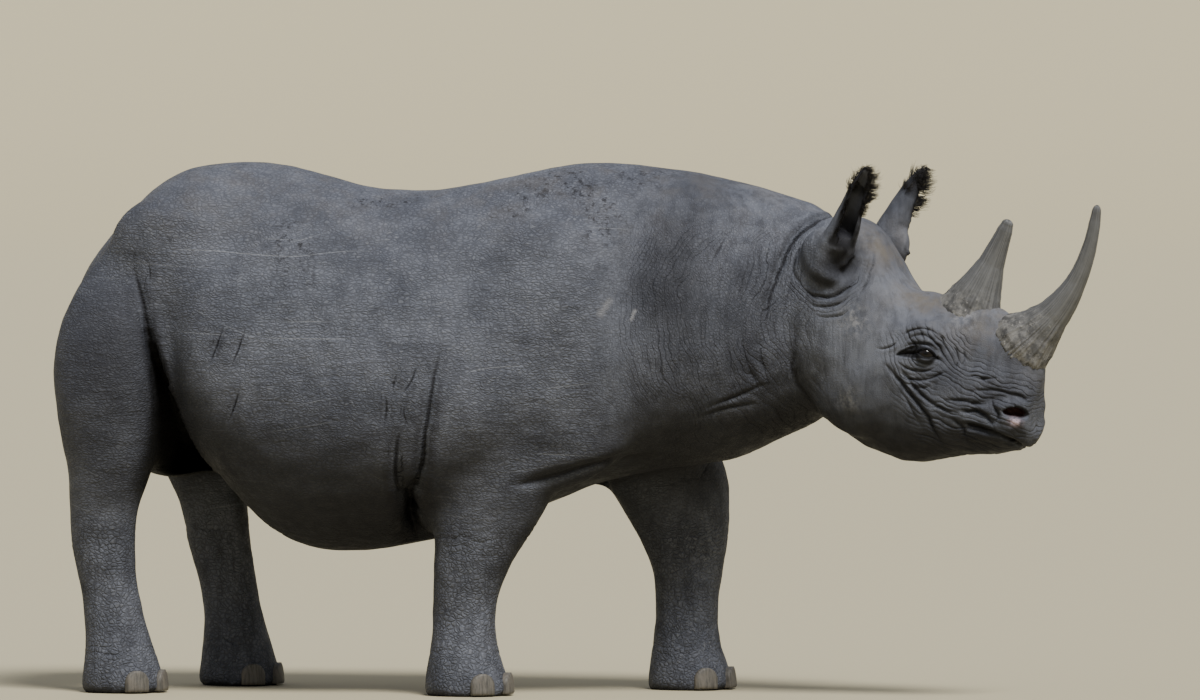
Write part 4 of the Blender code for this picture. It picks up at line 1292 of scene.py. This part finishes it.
LOCKS, HAIRS_IN_A_LOCK = 104, 14
LOCK_SHORT, LOCK_MORE = 0.012, 0.030  # a short lock's length, and how much longer others are
FRINGE_HAIR, LASH, BRISTLE = 0.0016, 0.0009, 0.0019  # how thick they are at their roots
LASHES = ((1, 30, 0.010), (-1, 12, 0.005))  # above and below the slit: how many, and their length
BRISTLES = 420


def make_fringe(name, side, hide, random):
    """Black hair in locks along both free margins of an ear."""
    ear, hairs = Ear(side), Hairs(name)
    points = places_of(hide.data)
    margins = points[ear.rim(points) > 0.75]
    along, _, turn = ear.around(margins)
    front = ear.ahead(turn) > 0
    for k in range(LOCKS):
        ahead = k % 2 == 0
        lowest = RIM_FROM[0 if ahead else 1]
        wanted = lowest + (1 - lowest) * (k + random.random()) / LOCKS
        near = np.flatnonzero((np.abs(along - wanted) < 0.04) & (front == ahead))
        if not len(near):
            continue
        chosen = random.choice(near)
        # the locks lean out of the ear, and those at its tip point up
        base, angle = margins[chosen], 2 * math.pi * turn[chosen]
        out = ear.opens * math.cos(angle) + ear.across * math.sin(angle)
        longer = float(smoothstep(0.50, 0.85, wanted)) * (1.0 if ahead else 0.6)
        topmost = float(smoothstep(0.82, 1.0, wanted))
        lean = 0.7 * out + 0.6 * ear.opens + random.uniform(-0.1, 0.45 - 0.4 * topmost) * ear.axis
        lean = lean + random.normal(0, 0.12, 3)
        drawn = (0.8 - 0.7 * topmost) * ear.axis + 0.5 * ear.opens + 0.3 * out
        drawn = drawn + random.normal(0, 0.22, 3)
        # they are longest below the tip, at the front, and on the left ear
        reach = (LOCK_SHORT + LOCK_MORE * longer) * random.uniform(0.6, 1.25) * (1.2 if side > 0 else 1.0)
        reach *= 1 - 0.60 * float(smoothstep(0.88, 1.0, wanted))
        for _ in range(HAIRS_IN_A_LOCK):
            root = base + ear.axis * random.normal(0, 0.004) - out * 0.002
            root = root + random.normal(0, 0.0012, 3)
            way, bend = lean + random.normal(0, 0.14, 3), drawn + random.normal(0, 0.18, 3)
            patch = (0.5 + turn[chosen], 0.1 + 0.8 * wanted)
            hairs.grow(root, way, bend, reach * random.uniform(0.75, 1.1), FRINGE_HAIR, patch)
    return hairs.made()


def make_lashes(name, side, random):
    """Lashes along both rims of an eye's slit."""
    axes, hairs = eye_axes(side), Hairs(name)
    turned = axes @ HEAD_AXES
    for edge, count, length in LASHES:
        for k in range(count):
            u = SLIT_HALF * (1.8 * (k + random.uniform(0.2, 0.8)) / count - 0.9)
            v = (SLIT_UP if edge > 0 else -SLIT_DOWN) * (1 - (u / SLIT_HALF) ** 2)
            w = math.sqrt(max((BALL + 0.8 * LID) ** 2 - u * u - v * v, 0)) + 0.001
            way = np.array((0.25 * u / SLIT_HALF, 0.15 * edge, 1.0)) + random.normal(0, 0.10, 3)
            bend = np.array((0.4 * u / SLIT_HALF, 0.75 * edge - 0.35, 0.8))
            root = from_head([np.array((u, v, w)) @ axes + eye_centre(side)])[0]
            patch = (0.5 + u * 8, 0.5 + 0.2 * edge + v * 4)
            reach = length * random.uniform(0.7, 1.2)
            hairs.grow(root, way @ turned, bend @ turned, reach, LASH, patch, 4)
    return hairs.made()


TUFT_TOP, TUFT_SPAN = 0.275, 0.26  # above the tail's end, and how far down the roots reach


def make_tuft(name, random):
    """Stiff bristles down both edges of the tail's flat end."""
    low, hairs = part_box("tail")[0], Hairs(name)
    corners = places_of(frame["nodes"]["tail"].data)
    for _ in range(BRISTLES):
        share = random.random() ** 0.8
        height = low.z + TUFT_TOP - TUFT_SPAN * share
        ring = corners[np.abs(corners[:, 2] - height) < 0.06]
        edge = random.choice((-1, 1))
        spine = ring.mean(axis=0)
        half_width = np.abs(ring[:, 1]).max()
        spot = random.uniform(0.6, 0.95)
        along = spine[0] + random.normal(0, 0.003)
        root = np.array((along, edge * half_width * spot * 0.9, height))
        way = np.array((random.normal(0, 0.25), edge * random.uniform(0.3, 1.0), -0.8))
        bend = np.array((random.normal(0, 0.15), edge * 0.12, -1.0))
        length = random.uniform(0.045, 0.085) * (0.6 + 0.6 * share)
        patch = (0.5 + 0.3 * edge + 2 * (root[0] - spine[0]), 0.1 + 0.8 * share)
        hairs.grow(root, way, bend, length, BRISTLE, patch, 6)
    return hairs.made()


# ---------------------------------------------------------------- materials
class Paint:
    """A material's nodes, with the colour and the height that are laid on so far."""

    def __init__(self, name, colour):
        self.material = bpy.data.materials.new(name)
        self.material.use_nodes = True
        self.nodes = self.material.node_tree.nodes
        self.links = self.material.node_tree.links
        self.shader = self.nodes["Principled BSDF"]
        self.place = self.nodes.new("ShaderNodeTexCoord").outputs["Object"]
        self.facing = self.nodes.new("ShaderNodeNewGeometry").outputs["Normal"]
        self.colour, self.height = colour, None

    def add(self, kind, inputs=(), **settings):
        node = self.nodes.new(kind)
        for key, value in settings.items():
            setattr(node, key, value)
        for socket, value in dict(inputs).items():
            self.feed(node.inputs[socket], value)
        return node

    def feed(self, socket, value):
        if isinstance(value, bpy.types.NodeSocket):
            self.links.new(value, socket)
        elif socket.type == "RGBA" and len(value) == 3:
            socket.default_value = (*value, 1)
        else:
            socket.default_value = value

    def math(self, operation, a, b=0.0):
        return self.add("ShaderNodeMath", {0: a, 1: b}, operation=operation).outputs[0]

    def times(self, a, b):
        return self.math("MULTIPLY", a, b)

    def plus(self, a, b):
        return self.math("ADD", a, b)

    def attribute(self, name):
        return self.add("ShaderNodeAttribute", attribute_name=name).outputs["Fac"]

    def split(self, vector):
        """The three parts of a vector."""
        return self.add("ShaderNodeSeparateXYZ", {0: vector}).outputs

    def stretched(self, place, scale):
        return self.add("ShaderNodeMapping", {"Vector": place, "Scale": scale}).outputs[0]

    def noise(self, scale, detail=2.0, rough=0.5, warp=0.0):
        """Noise from 0 to 1 with lumps of 1 / scale, which three scales stretch."""
        place = self.place
        if isinstance(scale, tuple):
            place, scale = self.stretched(place, scale), 1.0
        inputs = {"Vector": place, "Scale": scale, "Detail": detail, "Roughness": rough,
                  "Distortion": warp}
        return self.add("ShaderNodeTexNoise", inputs).outputs["Fac"]

    def sway(self, scale, reach):
        """A small shift in space that varies smoothly."""
        inputs = {"Vector": self.place, "Scale": scale, "Detail": 2.0}
        colour = self.add("ShaderNodeTexNoise", inputs).outputs["Color"]
        even = self.add("ShaderNodeVectorMath", {0: colour, 1: (0.5, 0.5, 0.5)}, operation="SUBTRACT")
        inputs = {0: even.outputs[0], "Scale": reach}
        return self.add("ShaderNodeVectorMath", inputs, operation="SCALE").outputs[0]

    def pebbles(self, scale, sway, edge):
        """Low cobbles parted by fine grooves, from 0 in a groove to 1, with sizes 1 / scale."""
        place = self.add("ShaderNodeVectorMath", {0: self.place, 1: sway}, operation="ADD").outputs[0]
        inputs = {"Vector": self.stretched(place, scale), "Scale": 1.0}
        node = self.add("ShaderNodeTexVoronoi", inputs, feature="DISTANCE_TO_EDGE")
        return self.between(node.outputs["Distance"], 0.01, edge)

    def lines(self, phase, width):
        """1 in the grooves of a family of lines, and 0 between them."""
        off = self.plus(self.math("FRACT", self.plus(phase, 0.5)), -0.5)
        return self.between(self.math("ABSOLUTE", off), width, 0.02)

    def between(self, value, low, high, to_low=0.0, to_high=1.0):
        """From to_low where the value is at low to to_high where it is at high, with soft ends."""
        inputs = {"Value": value, "From Min": low, "From Max": high,
                  "To Min": to_low, "To Max": to_high}
        node = self.add("ShaderNodeMapRange", inputs, interpolation_type="SMOOTHSTEP")
        return node.outputs["Result"]

    def blend(self, share, a, b):
        node = self.add("ShaderNodeMix", data_type="RGBA")
        for socket, value in ((0, share), (6, a), (7, b)):
            self.feed(node.inputs[socket], value)
        return node.outputs[2]

    def lay(self, colour, *shares):
        """Lays a colour over the material, by the product of the shares."""
        self.colour = self.blend(functools.reduce(self.times, shares), self.colour, colour)

    def swell(self, *factors):
        """Raises the material by the product of the factors, in metres."""
        step = functools.reduce(self.times, factors)
        self.height = step if self.height is None else self.plus(self.height, step)

    def finish(self, roughness):
        self.feed(self.shader.inputs["Base Color"], self.colour)
        self.feed(self.shader.inputs["Roughness"], roughness)
        if self.height is not None:
            bump = self.add("ShaderNodeBump", {"Height": self.height, "Distance": 1.0, "Strength": 1.0})
            self.links.new(bump.outputs[0], self.shader.inputs["Normal"])
        return self.material


# soot-black is the colour of real dark streaks, scuffs and hair, and also of painted shade
SLATE, ASH, SOOT_AND_SHADE = (0.067, 0.073, 0.092), (0.130, 0.139, 0.167), (0.010, 0.010, 0.013)
PALE_ASH, PEBBLE_TOP = (0.160, 0.170, 0.198), (0.165, 0.172, 0.190)
DUST, CHALK, SCAR = (0.120, 0.104, 0.084), (0.27, 0.27, 0.28), (0.300, 0.312, 0.335)
MOUTH_SHADE, NOSTRIL_DARK, PINK = (0.006, 0.005, 0.005), (0.020, 0.004, 0.004), (0.60, 0.46, 0.52)
# The pebbles of each kind of hide: how many to a metre, how wide their edges are, how high they are
PEBBLES = {
    "flank": ((66, 66, 128), 0.32, 0.0013),
    "neck": ((128, 105, 84), 0.32, 0.0012),
    "face": ((150, 150, 95), 0.36, 0.0005),
    "leg": ((75, 75, 88), 0.26, 0.0020),
}
# Families of long scratches: how far apart they lie, how they slope, how their patches vary, how pale
SCRATCHES = ((0.050, 0.06, (1.8, 2.0, 9.0), 0.34), (0.072, -0.16, (2.3, 2.0, 7.0), 0.30),
             (0.130, 0.45, (3.0, 3.0, 6.0), 0.28))
SCRATCH_EDGE, SCRATCH_CORE = 0.0022, 0.0006  # half widths of a scratch
# Old wounds on the right shoulder: along, up, lean, half length, half width, how pale
WELTS = ((0.193, 1.118, 1.15, 0.024, 0.008, 0.75), (0.114, 1.140, 1.00, 0.040, 0.018, 0.40))
# Markings of one colour: how strongly each covers the hide, and its colour. The cleft's and the ear
# foot's are painted shade, the lids' is painted shade with the lids' dark margins, and the ear's rim is
# its black hair
MARKED = {
    "cleft": (0.97, (0.002, 0.002, 0.002)),
    "lids": (0.93, (0.003, 0.003, 0.004)),
    "ear_hollow": (0.70, (0.070, 0.072, 0.084)),
    "ear_rim": (0.90, SOOT_AND_SHADE),
    "ear_foot": (0.92, SOOT_AND_SHADE),
}


def raise_pebbles(p, masks):
    """The hide's pebbles and shallow folds. Gives how high each point is on its pebble."""
    sway = p.sway(22.0, 0.030)
    pebble = 0.0
    for name, (scale, edge, height) in PEBBLES.items():
        share = p.times(p.pebbles(scale, sway, edge), masks[name])
        pebble = p.plus(share, pebble)
        p.swell(share, height)
    p.swell(p.pebbles((260, 260, 260), sway, 0.35), 0.0005)
    p.swell(p.noise((7, 9, 34), 3.0, 0.55, 0.5), 0.0050, masks["flank"])
    p.swell(p.noise((22, 26, 105), 3.0, 0.6, 0.8), 0.0030, masks["flank"])
    streaky = p.plus(masks["neck"], p.times(p.attribute("lighter"), 0.8))
    p.swell(p.noise((40, 24, 6), 3.0, 0.55, 0.6), 0.0050, streaky)
    p.swell(p.noise(480.0, 2.0), 0.00025)
    return pebble


def lay_slate(p, masks, pebble):
    """Slate in patches of ash, paler on the tops of the pebbles, and darker between them."""
    p.lay(ASH, p.between(p.noise(5.0, 7.0, 0.72), 0.34, 0.70))
    uneven = p.between(p.noise(13.0, 4.0, 0.65), 0.30, 0.62, 0.25, 1.0)
    # painted highlight and pale dust, where the head is painted lighter
    p.lay(PALE_ASH, p.attribute("lighter"), uneven, 0.80)
    rough = p.plus(0.10, p.times(0.22, p.plus(masks["flank"], masks["leg"])))
    rough = p.plus(rough, p.times(masks["neck"], 0.12))
    p.lay(SOOT_AND_SHADE, p.between(pebble, 0.55, 0.05), rough)
    p.lay(PEBBLE_TOP, p.between(p.noise(60.0, 4.0, 0.7), 0.48, 0.70, 0.0, 0.60), pebble)
    streaks = p.between(p.noise((34, 30, 11), 4.0, 0.65, 0.4), 0.44, 0.62, 0.0, 0.30)
    p.lay(SOOT_AND_SHADE, streaks, p.math("SUBTRACT", 1.0, masks["flank"]))


def lay_scratches(p, masks):
    """Pale scratches and welts on the flanks, and dark scuffs on the back."""
    x, y, z = p.split(p.place)
    body = p.plus(masks["flank"], p.times(masks["neck"], 0.4))
    upright = p.times(body, p.between(p.split(p.facing)[2], 0.85, 0.50))
    for apart, slope, patch, pale in SCRATCHES:
        rise = p.plus(p.times(z, 1 / apart), p.times(x, slope / apart))
        bend = p.times(p.noise(0.9, 0.0), 0.12 / apart)
        bend = p.plus(bend, p.times(p.noise(3.5, 1.0), 0.03 / apart))
        off = p.math("ABSOLUTE", p.plus(p.math("FRACT", p.plus(rise, bend)), -0.5))
        line = p.between(off, SCRATCH_EDGE / apart, SCRATCH_CORE / apart, 0.0, pale)
        p.lay(SCAR, line, p.between(p.noise(patch, 2.0, 0.6), 0.57, 0.67), upright)
    ragged = p.times(p.plus(p.noise(90.0, 3.0), -0.5), 0.016)
    for along, up, lean, half_length, half_width, pale in WELTS:
        a, b = p.plus(x, -along), p.plus(z, -up)
        run = p.plus(p.times(a, math.cos(lean)), p.times(b, math.sin(lean)))
        across = p.plus(p.times(b, math.cos(lean)), p.times(a, -math.sin(lean)))
        run, across = p.math("ABSOLUTE", run), p.math("ABSOLUTE", p.plus(across, ragged))
        p.lay(CHALK, p.between(run, half_length, half_length * 0.5), p.between(across, half_width, 0.0),
              pale, p.between(y, 0.0, -0.1))
    p.lay(SOOT_AND_SHADE, p.between(p.noise(38.0, 4.0, 0.75), 0.52, 0.62), p.between(p.noise(3.6, 3.0), 0.50, 0.62),
          p.between(z, 1.05, 1.35, 0.0, 0.80), body)


def lay_dust(p):
    """Dust on the muzzle, the brow and the back, and chalky rubbed places."""
    p.lay(DUST, p.attribute("dust"), p.between(p.noise(8.0, 4.0, 0.65), 0.38, 0.66, 0.10, 0.85))
    top = p.between(p.split(p.place)[2], 1.20, 1.55, 0.0, 0.24)
    p.lay(DUST, top, p.between(p.noise(9.0, 4.0, 0.65), 0.42, 0.68))
    p.lay(CHALK, p.attribute("pale"), p.between(p.noise(48.0, 4.0, 0.65), 0.40, 0.68, 0.0, 0.70))


def hide_material():
    """The hide's colour and its finest relief, from the masks that its mesh carries."""
    p = Paint("hide", SLATE)
    masks = {name: p.attribute(name) for name in PEBBLES}
    pebble = raise_pebbles(p, masks)
    fray = p.times(p.plus(p.noise(45.0, 3.0, 0.6), -0.5), 0.9)
    line = p.times(p.lines(p.plus(p.attribute("lines"), fray), 0.22), p.attribute("line_depth"))
    ring = p.times(p.lines(p.plus(p.attribute("rings"), fray), 0.16), p.attribute("ring_depth"))
    gap = p.plus(p.attribute("fold"), p.times(fray, 0.35))
    fold = p.math("EXPONENT", p.times(p.times(gap, gap), -5.0))
    depth = p.attribute("fold_depth")
    p.swell(line, -0.0030)
    p.swell(ring, -0.0030)
    p.swell(fold, depth, -0.50)
    lay_slate(p, masks, pebble)
    lay_scratches(p, masks)
    lay_dust(p)
    # painted shade: near-black paint where the hide lies in shade, where it faces down, in its hollows,
    # and along its wrinkles and folds
    p.lay(SOOT_AND_SHADE, p.math("MINIMUM", p.times(p.attribute("painted_shade"), 0.80), 0.92))
    p.lay(SOOT_AND_SHADE, p.between(p.split(p.facing)[2], 0.10, -0.75, 0.0, 0.85))
    p.lay(SOOT_AND_SHADE, p.between(p.attribute("cavity"), 0.05, -0.75, 0.0, 0.5))
    p.lay(SOOT_AND_SHADE, line, 0.75)
    p.lay(SOOT_AND_SHADE, ring, 0.38)
    p.lay(SOOT_AND_SHADE, fold, p.between(depth, 0.0, 0.006, 0.0, 0.85))
    for name, (share, colour) in MARKED.items():
        p.lay(colour, p.attribute(name), share)
    # painted shade, near-black along the mouth's line
    p.lay(MOUTH_SHADE, p.between(p.attribute("mouth"), 0.35, 0.9, 0.0, 0.9))
    # the nostril's hollow: painted shade that deepens inwards, over its own reddish inner colour
    p.lay(NOSTRIL_DARK, p.between(p.attribute("nostril"), 0.15, 0.75))
    p.lay(PINK, p.attribute("pink"), p.between(p.noise(70.0, 3.0, 0.65), 0.36, 0.56, 0.2, 0.95))
    p.shader.inputs["Specular IOR Level"].default_value = 0.22
    return p.finish(p.between(p.noise(30.0, 3.0, 0.6), 0.3, 0.7, 0.56, 0.78))


def horn_material():
    """Streaked along its fibres, and rough, pale and flaking at its base."""
    p = Paint("horn", (0.056, 0.057, 0.059))
    rise, fibres = p.attribute("rise"), p.attribute("fibres")
    p.lay((0.120, 0.121, 0.120), p.between(fibres, -0.6, 0.7))
    p.lay((0.125, 0.127, 0.130), p.between(p.noise(14.0, 3.0, 0.6), 0.35, 0.70), 0.45)
    base = p.between(rise, 0.40, 0.06)
    lumps = p.between(p.noise(30.0, 5.0, 0.7), 0.38, 0.64)
    p.lay(p.blend(lumps, (0.036, 0.035, 0.035), (0.180, 0.174, 0.163)), base, 0.85)
    flakes = p.times(p.between(p.noise(70.0, 4.0, 0.7), 0.57, 0.68), base)
    p.lay((0.33, 0.32, 0.30), flakes, 0.75)
    p.swell(p.noise(150.0, 4.0, 0.6), 0.0008)
    p.swell(flakes, 0.0012)
    p.swell(fibres, 0.0004)
    return p.finish(p.between(rise, 0.0, 0.7, 0.78, 0.46))


def nail_material():
    p = Paint("nail", (0.052, 0.048, 0.042))
    streaks = p.noise((160, 160, 18), 3.0, 0.6)
    p.lay((0.125, 0.115, 0.098), p.between(streaks, 0.3, 0.7))
    p.lay(DUST, p.between(p.noise(22.0, 4.0, 0.65), 0.48, 0.68, 0.0, 0.6))
    p.swell(streaks, 0.0010)
    p.swell(p.noise(130.0, 3.0), 0.0006)
    return p.finish(0.62)


# Radii over which the iris gives way to the white, and the pupil to the iris
IRIS_ENDS, PUPIL_ENDS = (0.0118, 0.0130), (0.0062, 0.0050)


def eye_material():
    p = Paint("eye", (0.005, 0.0035, 0.003))
    p.lay((0.011, 0.007, 0.005), p.noise(260.0, 3.0))
    flat = p.add("ShaderNodeVectorMath", {0: p.place, 1: (1, 1, 0)}, operation="MULTIPLY")
    ring = p.add("ShaderNodeVectorMath", {0: flat.outputs[0]}, operation="LENGTH").outputs["Value"]
    white = p.blend(p.noise(90.0, 3.0), (0.012, 0.010, 0.010), (0.005, 0.004, 0.004))
    p.lay(white, p.between(ring, *IRIS_ENDS))
    p.lay((0.003, 0.003, 0.003), p.between(ring, *PUPIL_ENDS))
    p.lay((0.012, 0.009, 0.009), p.between(p.split(p.place)[2], 0.0, -0.004))
    p.shader.inputs["IOR"].default_value = 1.34
    return p.finish(0.12)


def hair_material():
    p = Paint("hair", (0.010, 0.009, 0.009))
    p.lay((0.026, 0.022, 0.020), p.noise(120.0, 2.0))
    return p.finish(0.50)


def dress(piece, material, slot, *nodes):
    """Gives a piece its material, and says which solids it replaces; the slot is not used."""
    piece.data.materials.clear()
    piece.data.materials.append(material)
    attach(piece, "root")
    if nodes:
        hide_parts(*nodes)


# ---------------------------------------------------------------- floor, light and camera
VIEW_TURN, VIEW_RISE = math.radians(10), math.radians(1.5)
VIEW_FROM = 38.0  # from the camera to the animal
VIEW_WIDTH = 3.53  # of what the picture takes in, at the animal
VIEW_AT = Vector((0.032, 0.026, 1.006))
SENSOR, VIEW_END = 36, 1000  # in millimetres, and how far it sees
# The floor runs out flat and then curves up, so that no skyline shows: radius, height
FLOOR_PROFILE = ((82, 0.0), (90, 0.9), (96, 3.0), (100, 7.0), (103, 14.0), (104, 26.0))
FLOOR_POINTS = 96
FLOOR_COLOUR, FLOOR_ROUGH = (0.410, 0.365, 0.240), 0.9
# A soft sun, whose turn counts as the camera's does, and a pale sky
SUN_RISE, SUN_TURN, SUN_WIDTH = math.radians(56), math.radians(38), math.radians(20)
SUN_STRENGTH, SUN_COLOUR = 4.9, (1.0, 0.985, 0.96)
SKY_STRENGTH, SKY_COLOUR = 0.56, (0.86, 0.90, 1.0, 1)


def make_floor():
    """A floor that reaches past every picture's edge."""
    mesh = bmesh.new()
    turns = [2 * math.pi * k / FLOOR_POINTS for k in range(FLOOR_POINTS)]
    rings = [[mesh.verts.new((r * math.cos(t), r * math.sin(t), h)) for t in turns]
             for r, h in FLOOR_PROFILE]
    mesh.faces.new(rings[0])
    for near, far in zip(rings, rings[1:]):
        for k in range(FLOOR_POINTS):
            after = (k + 1) % FLOOR_POINTS
            mesh.faces.new((near[k], far[k], far[after], near[after]))
    floor = finished("floor", mesh)
    floor.data.materials.append(Paint("floor", FLOOR_COLOUR).finish(FLOOR_ROUGH))


def make_light():
    """One soft sun, and the sky."""
    lamp = bpy.data.lights.new("sun", "SUN")
    lamp.energy, lamp.angle, lamp.color = SUN_STRENGTH, SUN_WIDTH, SUN_COLOUR
    flat = math.cos(SUN_RISE)
    towards = Vector((math.sin(SUN_TURN) * flat, -math.cos(SUN_TURN) * flat, math.sin(SUN_RISE)))
    linked("sun", lamp).rotation_euler = towards.to_track_quat("Z", "Y").to_euler()
    world = bpy.data.worlds.new("sky")
    bpy.context.scene.world = world
    world.use_nodes = True
    world.node_tree.nodes["Background"].inputs[0].default_value = SKY_COLOUR
    world.node_tree.nodes["Background"].inputs[1].default_value = SKY_STRENGTH


def make_camera():
    """A camera far off on the animal's right."""
    right = Vector((math.cos(VIEW_TURN), math.sin(VIEW_TURN), 0))
    away = Vector((-math.sin(VIEW_TURN) * math.cos(VIEW_RISE),
                   math.cos(VIEW_TURN) * math.cos(VIEW_RISE), -math.sin(VIEW_RISE)))
    lens = bpy.data.cameras.new("camera")
    lens.sensor_width = SENSOR
    lens.lens = lens.sensor_width * VIEW_FROM / VIEW_WIDTH
    lens.clip_end = VIEW_END
    camera = linked("camera", lens)
    turned = Matrix((right, right.cross(away), -away)).transposed().to_4x4()
    turned.translation = VIEW_AT - away * VIEW_FROM
    camera.matrix_world = turned
    bpy.context.scene.camera = camera


# ---------------------------------------------------------------- the whole animal
def main():
    make_camera()
    make_floor()
    make_light()
    horn, nail, hair, eye = horn_material(), nail_material(), hair_material(), eye_material()
    hide = make_hide()
    dress(hide, hide_material(), "skin", *FLESH)
    dress(make_horn("front_horn", FRONT_HORN), horn, "horn", "horn_front")
    dress(make_horn("rear_horn", REAR_HORN), horn, "horn", "horn_rear")
    for name, side in SIDES.items():
        dress(make_eyeball("eyeball_" + name, side), eye, "eye", "eye_" + name)
        random = np.random.default_rng(SEED + side)
        dress(make_fringe("ear_fringe_" + name, side, hide, random), hair, "skin")
        dress(make_lashes("lashes_" + name, side, random), hair, "skin")
    dress(make_tuft("tail_tuft", np.random.default_rng(SEED + 5)), hair, "skin")
    for leg in ("front_right", "front_left", "hind_right", "hind_left"):
        for number in "123":
            node = f"nail_{leg}_{number}"
            dress(make_nail(node, mount("sole_" + leg)), nail, "nail", node)


main()
